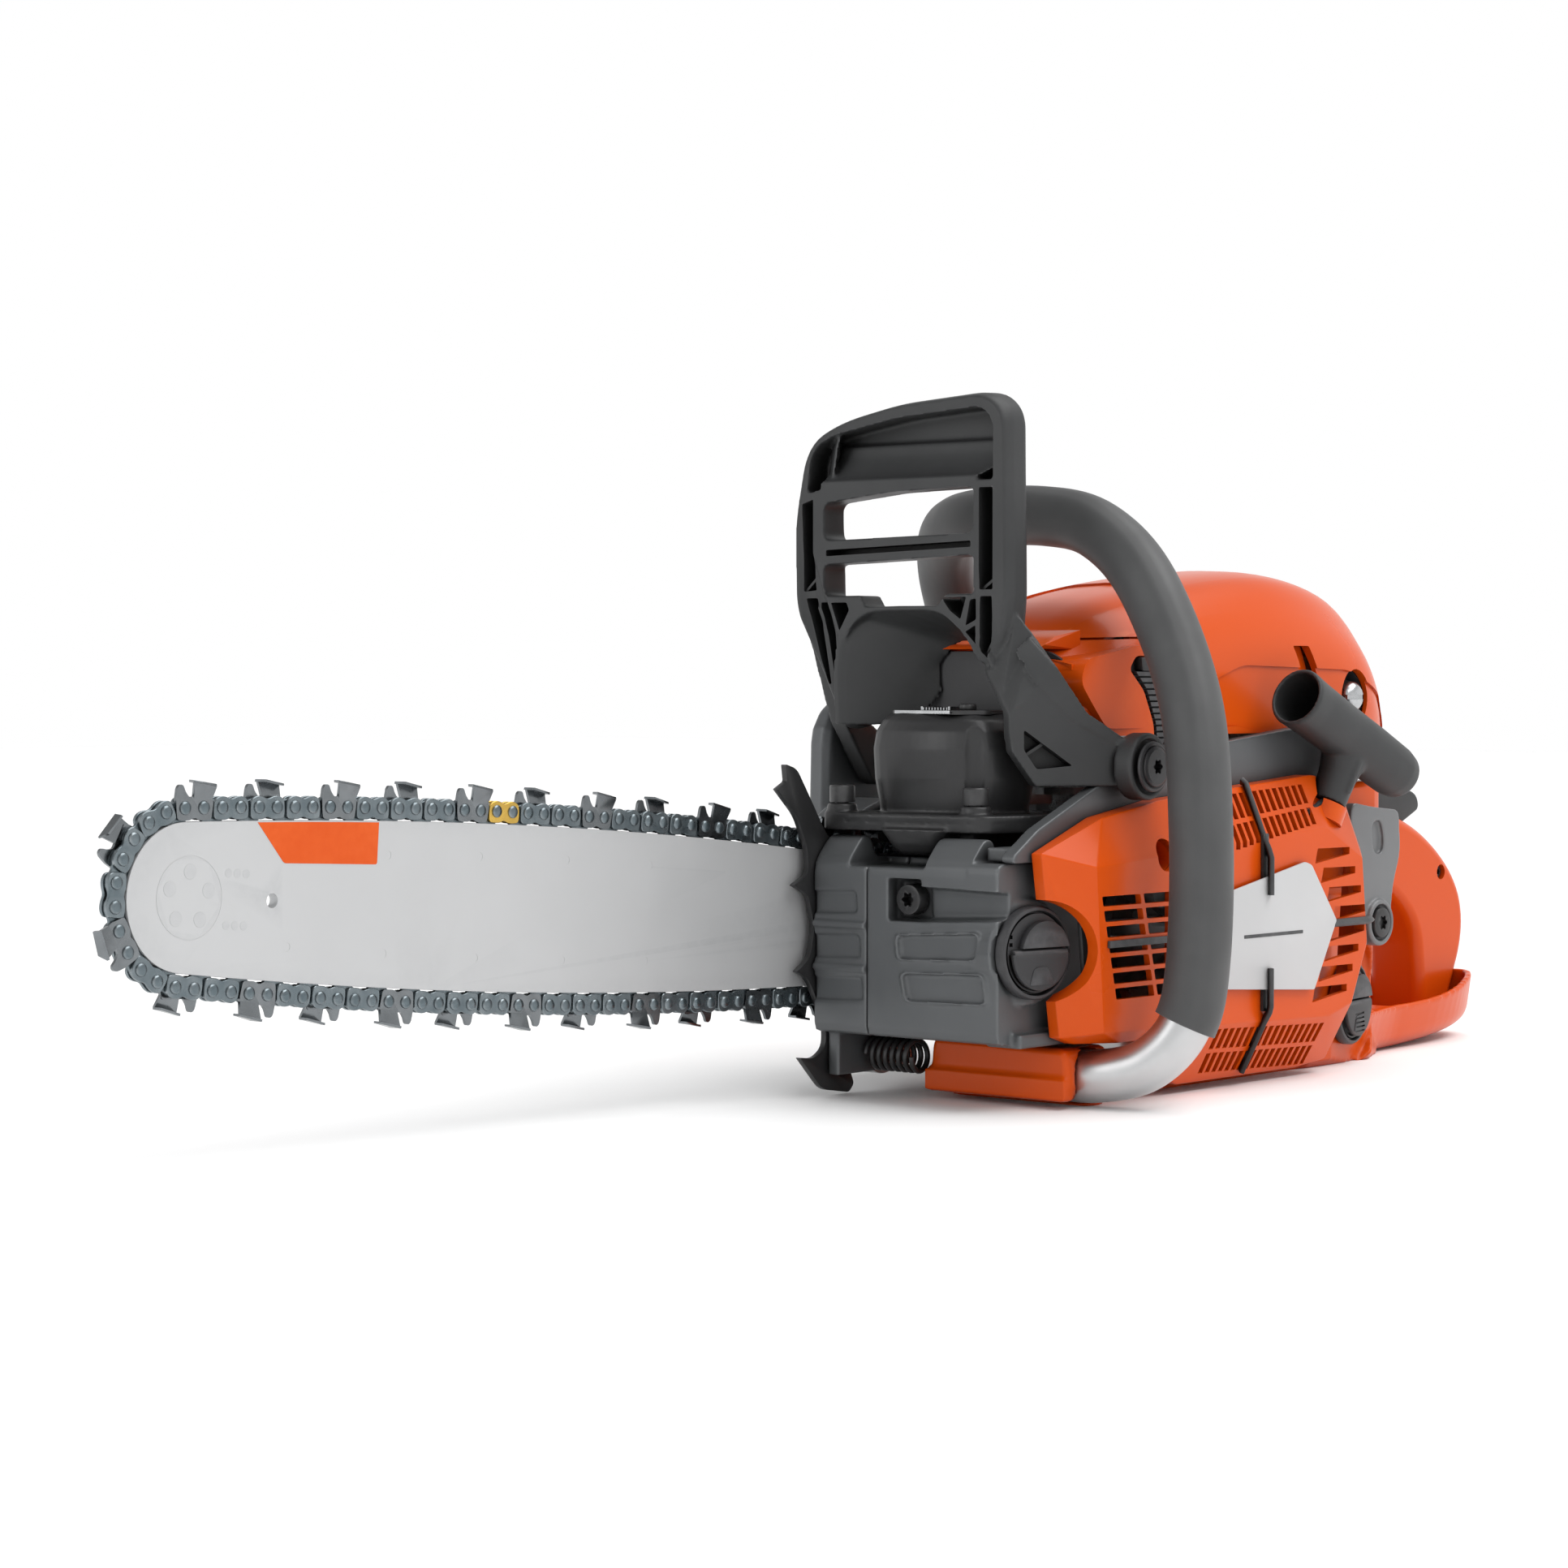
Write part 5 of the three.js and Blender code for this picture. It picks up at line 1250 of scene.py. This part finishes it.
def starter_handle():
    """A T-shaped grip, hollow at one end, on the rope's stem."""
    foot = ROPE_HOLE + PULL * 4
    middle = ROPE_HOLE + PULL * 30
    along = Vector((-0.92, 0, -0.392)).normalized()
    up = (PULL - along * PULL.dot(along)).normalized()
    side = along.cross(up)

    def tube(start, way, other, stations):
        """Ovals along a way: distance, half width to the side, half width the other way."""
        return loft([[start + way * s + other * y + side * x for x, y in oval(a, b)] for s, a, b in stations])

    grip = tube(middle, along, up, (
        (-47, 11.6, 12.3), (-46, 12.3, 12.9), (-36, 11.8, 12.4), (-12, 11.6, 12), (14, 11.8, 12),
        (36, 11.6, 11.6), (42, 10.6, 10.6), (45.4, 8, 8), (46.6, 4, 4)))
    stem = tube(foot, PULL, along, (
        (-3.8, 7.8, 7.8), (3, 8, 8.4), (9, 8.2, 9), (16, 8.8, 12), (22, 10, 19), (27, 10.5, 25)))
    mouth = tube(middle, along, up, ((-50, 10.6, 11.2), (-46, 10.4, 11), (-30, 8.6, 9.2), (-20, 7, 7.4)))
    bead = hull([foot + PULL * s + side * out + along * d
                 for s, w in ((2, 1.6), (20, 1.2)) for d in (-w, w) for out in (9.2, 4)])
    union(grip, stem, bead)
    cut(grip, mouth, rod(2.4, foot - PULL, foot + PULL * 12))
    piece(fused(grip, 0.7, 8), "pull_grip", "starter_handle", sharp=60)


ROPE_STEPS = 60


def rope():
    end = ROPE_HOLE + PULL * 3.4
    path = [PULLEY_EDGE.lerp(end, i / ROPE_STEPS) for i in range(ROPE_STEPS + 1)]

    def strand(share):
        """Three strands, twisted round each other."""
        twist = share * 40
        sizes = [1.5 * (1 + 0.12 * math.cos(3 * (a + twist))) for a in turns(18)]
        return [(size * math.cos(a), size * math.sin(a)) for size, a in zip(sizes, turns(18))]
    piece(swept(path, strand), "starter_cord", "starter_rope", sharp=50)


def fan_wall():
    """The dark wall behind the fan, seen through the starter cover's openings."""
    wall = slab([(-93, 8), (-34, 8), (-34, 122), (-93, 126)], 4, 40, 42)
    piece(bevelled(wall, 0.4), "fan_wall_sheet", slot="black_plastic")


starter_cover()
fan_wall()
label_plate()
starter_spider()
starter_handle()
rope()


# ---- front handle -------------------------------------------------------
HANDLE_ROUTE = (
    (78, 14, 12.5), (78, 40, 12.5), (78, 64, 12.5), (73, 85, 18), (66, 98, 34), (61, 101, 60), (58, 100, 110),
    (47, 87, 162), (38, 60, 208), (33, 32, 231), (28, 0, 238), (22, -40, 238), (8, -66, 233), (-10, -82, 219),
    (-28, -90, 196), (-48, -95, 160), (-72, -96, 124), (-93, -90, 96), (-104, -78, 79), (-106, -66, 76),
    (-106, -59.2, 76),
)
GRIP_FROM, GRIP_TO = 4, 16
TUBE_R, GRIP_R = 10.6, 12.8
ROUTE_STEPS = 10


def round_section(radius, sides=36):
    return lambda share: oval(radius, radius, sides)


def grip_section(t):
    """A soft sleeve with shallow flutes along it, and rounded ends."""
    end = min(t, 1 - t) * 560
    drawn_in = 1.3 * max(0.0, 1 - end / 1.6) ** 2
    ring = []
    for angle in turns(60):
        flute = 0.22 * math.cos(4 * angle) - 0.25 * max(0.0, math.cos(2 * angle)) ** 24
        radius = GRIP_R - 0.25 + flute - drawn_in
        ring.append((radius * math.cos(angle), radius * math.sin(angle)))
    return ring


def front_handle():
    route = spline(HANDLE_ROUTE, ROUTE_STEPS)
    piece(swept(route, round_section(TUBE_R)), "handle_tube", "front_handle", sharp=50)
    grip_route = route[GRIP_FROM * ROUTE_STEPS:GRIP_TO * ROUTE_STEPS + 1]
    first, last = grip_route[0], grip_route[-1]
    lead = [first.lerp(grip_route[1], s) for s in (0, 0.1, 0.25)]
    tail = [grip_route[-2].lerp(last, s) for s in (0.75, 0.9, 1)]
    sleeve = swept(lead + grip_route[1:-1] + tail, grip_section)
    before, after = first + (first - grip_route[1]) * 0.6, last + (last - grip_route[-2]) * 0.6
    core = swept([before] + grip_route[1:-1] + [after], round_section(TUBE_R + 0.25))
    piece(cut(sleeve, core), "handle_sleeve", "front_handle_grip", sharp=50)


front_handle()


# ---- tank unit and rear handle ------------------------------------------
# The tray from front to rear: x, half width, height of the underside, height of the rim.
TRAY_STATIONS = ((-130, 49.5, 0.1, 20), (-150, 48.5, 0.1, 20.4), (-170, 43.5, 0.1, 20.8), (-188, 40, 0.3, 21),
                 (-205, 39, 0.8, 21.2), (-230, 37.5, 2.2, 22.4), (-252, 34.5, 4, 25), (-268, 30, 5.6, 28),
                 (-280, 24.5, 7, 29.8), (-287, 19, 8.6, 30.4), (-289.4, 15, 10.8, 30.6))


def tray():
    """The open tray under the rear handle, whose underside climbs to the rear."""
    outer, inner = [], []
    for x, half, low, rim in spline(TRAY_STATIONS, 3):
        foot = half * 0.86
        ring = rounded([(-foot, low, 8), (foot, low, 8), (half, rim, 1), (-half, rim, 1)])
        outer.append([(x, p.x, p.y) for p in ring])
    for x, half, low, rim in spline(TRAY_STATIONS[3:-1], 3):
        x = min(x, -188) + 1.4
        half -= 3.2
        foot, mouth = half * 0.9, half + 1.6
        ring = rounded([(-foot, 9.1, 4), (foot, 9.1, 4), (mouth, rim + 8, 1), (-mouth, rim + 8, 1)])
        inner.append([(x, p.x, p.y) for p in ring])
    pads = [prism(rectangle(x, x + 5, -26, 26, 1), 8.5, 10, "z") for x in range(-246, -196, 11)]
    return union(cut(loft(outer), loft(inner)), *pads)


def tank_unit():
    shell = from_cad("tank_unit")
    cut(shell, box(-300, -186.1, -60, 60, -5, 60))
    cut(shell, prism([(-192, 12), (-186, 20.5), (-176, 29), (-176, 48), (-192, 48)], -5, 60, "z"))
    step = box(64, 97, -8, 65, 14, 15)
    toe = hull([(x, y, z) for x, z in ((90, 3.2), (97, 3.2), (97, 12), (94, 13)) for y in (-8, 62)])
    union(shell, toe, tray())
    way = cap_way(FUEL_CAP)
    cut(shell, step, rod(11.4, (78, 8, 12.5), (78, 90, 12.5), 40),
        rod(20.2, point_on(FUEL_CAP[0], way, -6), point_on(FUEL_CAP[0], way, 14), 56),
        rod(13.5, point_on(FUEL_CAP[0], way, -20), point_on(FUEL_CAP[0], way, -5), 40))
    piece(fused(shell, 1.0, 4), "tank_moulding", "tank_unit", sharp=60)


LEVER_ROOM = 5.6


def rear_handle():
    """The loop of the rear handle, with its seam and room for the two levers."""
    line = rounded([
        (-186.4, 118, 0), (-212, 112, 14), (-256, 98, 24), (-287, 74, 22), (-293, 48, 16), (-274, 9.4, 0),
        (-250, 9.4, 0), (-249, 34, 10), (-246, 54, 16), (-226, 70, 14), (-204, 76, 8), (-186.4, 80, 0),
    ], 0, 8)
    grip = bevelled(prism(line, -14.5, 14.5), 5.5, 6, 40)
    for room in (rectangle(-232, -194, 60, 98, 3), rectangle(-268, -212, 92, 125, 3)):
        cut(grip, prism(room, -LEVER_ROOM, LEVER_ROOM))
    seam = cut(prism(shrunk(line, -2), -0.35, 0.35), prism(shrunk(line, 0.9), -2, 2))
    cut(grip, seam, lathe([(3.6, 0), (3.6, 5), (4.2, 5.6), (4.2, 10)], (-268, 10, 78), Y_AXIS, 32))
    piece(grip, "rear_handle_grip", "rear_handle", sharp=34, weighted=True)
    cap_screw("rear_handle_screw", None, (-268, 10.4, 78), Y_AXIS, 3.3, 2.4, 1.6, 0.3)


def trigger():
    blade = rounded([(-196, 92, 2), (-196, 72, 6), (-203, 60, 6), (-210, 56, 5), (-218, 58, 4), (-222, 66, 5),
                     (-224, 84, 4), (-214, 92, 3)])
    lever = bevelled(prism(blade, -5, 5), 1.8, 4)
    ribs = [disc(0.6, -219.5 + i * 0.2, 62 + i * 3, -3.4, 3.4, 12) for i in range(5)]
    piece(cut(lever, *ribs), "trigger_blade", "throttle_trigger", sharp=40)


def lockout():
    paddle = rounded([(-215, 100, 3), (-216, 115, 6), (-232, 121, 8), (-262, 116, 6), (-265, 108, 4),
                      (-240, 98, 6), (-226, 98, 4)])
    lever = bevelled(prism(paddle, -5, 5), 1.8, 4)
    ribs = [disc(0.7, -228 - i * 5, 121.4 - i * 0.9, -3.6, 3.6, 12) for i in range(6)]
    piece(cut(lever, *ribs), "lockout_paddle", "throttle_lockout", sharp=40)


def stop_lever():
    hub = lathe([(6.6, 0), (7, 0.5), (7, 4.6), (6.4, 5.4)], (-136, -50, 112), Y_AXIS, 36)
    blade = bevelled(slab([(-160, 109.6), (-160, 114.4), (-134, 115), (-134, 109)], 2, -52, -48), 0.8, 3)
    ribs = [box(-156 + i * 3, -155 + i * 3, -52.8, -51.5, 110, 114) for i in range(4)]
    piece(cut(union(hub, blade), *ribs), "stop_switch", "stop_lever", sharp=36)


def av_bracket():
    line = rounded([(-123, 103, 3), (-124, 116, 5), (-140, 113.5, 6), (-163, 111.5, 4), (-164.5, 92, 6),
                    (-158, 78, 10), (-156, 60, 12), (-145, 49.5, 14), (-134, 60, 12), (-133, 84, 12)])
    plate = prism(line, 50.6, 55.4)
    pocket = slab([(-142, 93), (-140, 106), (-148, 108), (-151, 98), (-149, 92)], 4, 53.4, 60)
    boss = lathe([(10.4, 0), (10.4, 6.4), (9.6, 7.4), (8.2, 7.4), (8, 5.4)], (-145, 50.6, 62), Y_AXIS, 48)
    cut(plate, pocket)
    union(plate, boss)
    cut(plate, disc(4.4, -145, 62, 40, 70))
    piece(fused(plate, 0.6, 4), "av_bracket_casting", "rear_av_bracket", material=LIGHT_CASTING, sharp=60)
    cap_screw("rear_spring_screw", None, (-145, 55.9, 62), Y_AXIS, 6.8, 2.6, 4.2, 8)


def coil(name, node, radius, wire, x, z, y0, y1, windings):
    steps = windings * 28
    path = []
    for i in range(steps + 1):
        angle = 2 * math.pi * windings * i / steps
        path.append(Vector((x + radius * math.cos(angle), y0 + (y1 - y0) * i / steps,
                            z + radius * math.sin(angle))))
    piece(swept(path, round_section(wire, 12)), name, node, sharp=50)


tank_unit()
rear_handle()
trigger()
lockout()
stop_lever()
av_bracket()
coil("rear_spring_coil", "av_spring_rear", 6.6, 1.0, -145, 62, 20, 49, 5)
coil("front_spring_coil", "av_spring_front", 6.2, 1.15, 97, 17, -34, -9.8, 7)


# ---- caps ---------------------------------------------------------------
def cap_frame(spec):
    """Turns +Z to the cap's axis with its own up kept vertical."""
    way = cap_way(spec)
    up = Vector(Z_AXIS)
    side = up.cross(way)
    turn = Matrix((side, up, way)).transposed().to_4x4()
    return Matrix.Translation(spec[0]) @ turn


def cap_lid(name, node, spec):
    """A screw cap with a raised island on one half and a seat for the wing in the other."""
    lid = lathe([(12.8, -15), (12.8, -5.7), (17.4, -5.7), (18.5, -5), (18.5, -2), (17.9, -1), (16.8, -0.7),
                 (16.4, -1.2), (16.1, -2.8), (15.7, -2.8), (15.5, -1.3)], (0, 0, 0), Z_AXIS, 72)
    island = boolean(rod(12.6, (2.6, 0, -3), (2.6, 0, 1.7), 64), disc_z(15.2, -4, 3), "INTERSECT")
    cut(island, box_z(-20, 20, -20, 2.2, -4, 3))
    seat = cut(disc_z(14.8, -4, 2), box_z(-20, 20, 0, 20, -5, 3))
    cut(lid, seat)
    union(lid, bevelled(island, 0.4, 2, 40))
    cut(lid, *[box_z(-14.6, -12.8, y, y + 1.5, -2.6, 0) for y in (3, 6)])
    cut(lid, box_z(16.6, 20, -0.8, 0.8, -1.8, 1))
    piece(moved(lid, cap_frame(spec)), name, node, sharp=36)


def disc_z(radius, z0, z1):
    return rod(radius, (0, 0, z0), (0, 0, z1), 56)


def box_z(x0, x1, y0, y1, z0, z1):
    return prism(rectangle(x0, x1, y0, y1), z0, z1, "z")


def cap_wing(name, node, spec, ribs):
    """The half-round wing, on a rounded hinge along its straight edge."""
    arc = [(14.6 * math.cos(a), 14.6 * math.sin(a)) for a in [math.pi + math.pi * i / 36 for i in range(37)]]
    wing = bevelled(prism(arc, -0.5, 1.7, "z"), 0.5, 3, 40)
    union(wing, rod(1.6, (-14, 0, 0.1), (14, 0, 0.1), 24))
    swell = []
    for z, w in ((1.2, 1), (1.9, 0.97), (2.1, 0.9)):
        ring = rounded([(-6.5 * w, -14, 0), (6.5 * w, -14, 0), (4.5 * w, -5.2), (-4.5 * w, -5.2)], 3, 4)
        swell.append([(p.x, max(p.y, -math.sqrt(13.6 ** 2 - p.x ** 2)), z) for p in ring])
    union(wing, loft(swell))
    if ribs:
        cut(wing, *[box_z(-5, 5, -12.6 + i * 1.9, -11.8 + i * 1.9, 1.2, 3) for i in range(5)])
    piece(moved(wing, cap_frame(spec)), name, node, sharp=36)


for label_name, spec, ribs in (("oil_cap", OIL_CAP, False), ("fuel_cap", FUEL_CAP, True)):
    cap_lid(f"{label_name}_lid", label_name, spec)
    cap_wing(f"{label_name}_wing", f"{label_name}_bail", spec, ribs)


# ---- clutch side --------------------------------------------------------
STUDS = (58, 92)


def stud_z(x):
    return CRANK_Z + x * math.sin(BAR_TILT)


def clutch_cover():
    """The casting over the clutch, with its grooved rims, cooling slots and ribs."""
    shell = from_cad("clutch_cover")
    rim = rounded([(44, 40), (52, 64), (42, 98), (0, 104), (-38, 92), (-46, 64), (-36, 38), (0, 30)], 14)
    groove = cut(prism(rim, -92, -88.8), prism(shrunk(rim, 2.2), -93, -80))
    vents = []
    for i in range(6):
        x, low = -30 + i * 9, 46 + i * 1.2
        vents.append(slab([(x, low), (x + 4.5, low), (x + 8.5, low + 34), (x + 4, low + 34)], 2, -95, -84))
    tail = [box(-62, -52, -66 + i * 6, -62.5 + i * 6, 40, 90) for i in range(3)]
    lobe_rim = rounded([(40, 120), (40, 140), (51, 156), (62, 157), (70, 149), (70, 120)], 6)
    lobe_groove = cut(prism(lobe_rim, -92, -88.9), prism(shrunk(lobe_rim, 1.8), -93, -80))
    ribs = [hull([(x, y, z + dz) for x, y in ((58, -66.5), (58, -68.6), (104, -66.5), (104, -68.6))
                  for dz in (-1, 1)]) for z in (36, 44, 92, 100, 108)]
    union(shell, *ribs)
    cut(shell, groove, lobe_groove, *vents, *tail)
    piece(fused(shell, 0.8, 3), "clutch_cover_casting", "clutch_cover", sharp=60)


def bar_nuts():
    for i, x in enumerate(STUDS):
        z = stud_z(x)
        nut = prism([(x + u, z + v) for u, v in oval(7.5, 7.5, 6)], -72.3, -64.3)
        chamfer = lathe([(6.4, -8), (7.6, -7), (7.6, -0.8), (6.6, 0)], (x, -64.3, z), Y_AXIS, 48)
        flange = lathe([(9.2, 0), (9.2, 1), (8.4, 1.8)], (x, -64.3, z), (0, -1, 0), 48)
        body = union(boolean(nut, chamfer, "INTERSECT"), flange)
        piece(cut(body, disc(4.2, x, z, -80, -60)), f"bar_nut_hex_{i}", f"bar_nut_{i}")
        threads = [(3.9 if k % 2 else 3.5, k) for k in range(44)]
        stud = lathe([(3.1, -0.3)] + threads, (x, -73, z), Y_AXIS, 24)
        piece(stud, f"bar_stud_thread_{i}", f"bar_stud_{i}", sharp=25)


def tension_screw():
    seat = (110, -60, 48)
    profile = [(2.4, -20), (2.8, -19), (2.8, 0), (4, 0), (4.2, 0.4), (4.2, 2.9), (3.7, 3.5)]
    screw = lathe(profile, seat, X_AXIS, 36)
    slot = box(112, 114, -66, -54, 47.4, 48.6)
    piece(cut(screw, slot), "tension_screw_head", "chain_tension_screw")


clutch_cover()
bar_nuts()
tension_screw()


# ---- stage, light and camera --------------------------------------------
FLOOR_REACH = 6000


def stage():
    """A plain pale floor."""
    floor = prism(rectangle(-FLOOR_REACH, FLOOR_REACH, -FLOOR_REACH, FLOOR_REACH), -4, 0, "z")
    floor.data.transform(Matrix.Scale(MM, 4))
    floor.name = "floor"
    made = bpy.data.materials.new("paper")
    made.use_nodes = True
    shader = made.node_tree.nodes["Principled BSDF"]
    shader.inputs["Base Color"].default_value = (0.97, 0.97, 0.97, 1)
    shader.inputs["Roughness"].default_value = 0.7
    floor.data.materials.append(made)


def facing(way):
    """The turn of a lamp or camera that looks along a way."""
    return Vector(way).to_track_quat("-Z", "Y").to_euler()


def softbox(name, place, aim, size, power):
    data = bpy.data.lights.new(name, "AREA")
    data.shape = "RECTANGLE"
    data.size, data.size_y = size
    data.energy = power
    lamp = placed(name, data)
    lamp.location = place
    lamp.rotation_euler = facing(Vector(aim) - Vector(place))


def sky():
    """White round the horizon and dimmer overhead."""
    world = bpy.data.worlds.new("studio")
    world.use_nodes = True
    tree = world.node_tree
    place = tree.nodes.new("ShaderNodeTexCoord")
    height = tree.nodes.new("ShaderNodeSeparateXYZ")
    fade = tree.nodes.new("ShaderNodeMapRange")
    for socket, value in (("From Min", 0.3), ("From Max", 0.75), ("To Min", 1.0), ("To Max", 0.3)):
        fade.inputs[socket].default_value = value
    tree.links.new(place.outputs["Generated"], height.inputs["Vector"])
    tree.links.new(height.outputs["Z"], fade.inputs["Value"])
    tree.links.new(fade.outputs["Result"], tree.nodes["Background"].inputs["Strength"])
    tree.nodes["Background"].inputs["Color"].default_value = (1, 1, 1, 1)
    bpy.context.scene.world = world


def lights():
    sky()
    data = bpy.data.lights.new("overhead", "SUN")
    data.energy = 2.1
    data.angle = math.radians(55)
    placed("overhead", data).rotation_euler = facing((0.35, -0.25, -1))
    centre = (0.05, 0, 0.12)
    softbox("key", (0.1, 1.1, 1.3), centre, (1.6, 0.5), 7)
    softbox("side", (1.5, -0.5, 0.7), centre, (0.5, 1.0), 4)


def camera():
    data = bpy.data.cameras.new("camera")
    data.lens = 84.5
    data.sensor_width = 36
    seen_from = placed("camera", data)
    seen_from.location = (1.2615, 0.924, 0.1718)
    seen_from.rotation_euler = facing((-0.75589, -0.65402, -0.02964))
    bpy.context.scene.camera = seen_from


bpy.context.scene.view_settings.view_transform = "Standard"
stage()
lights()
camera()
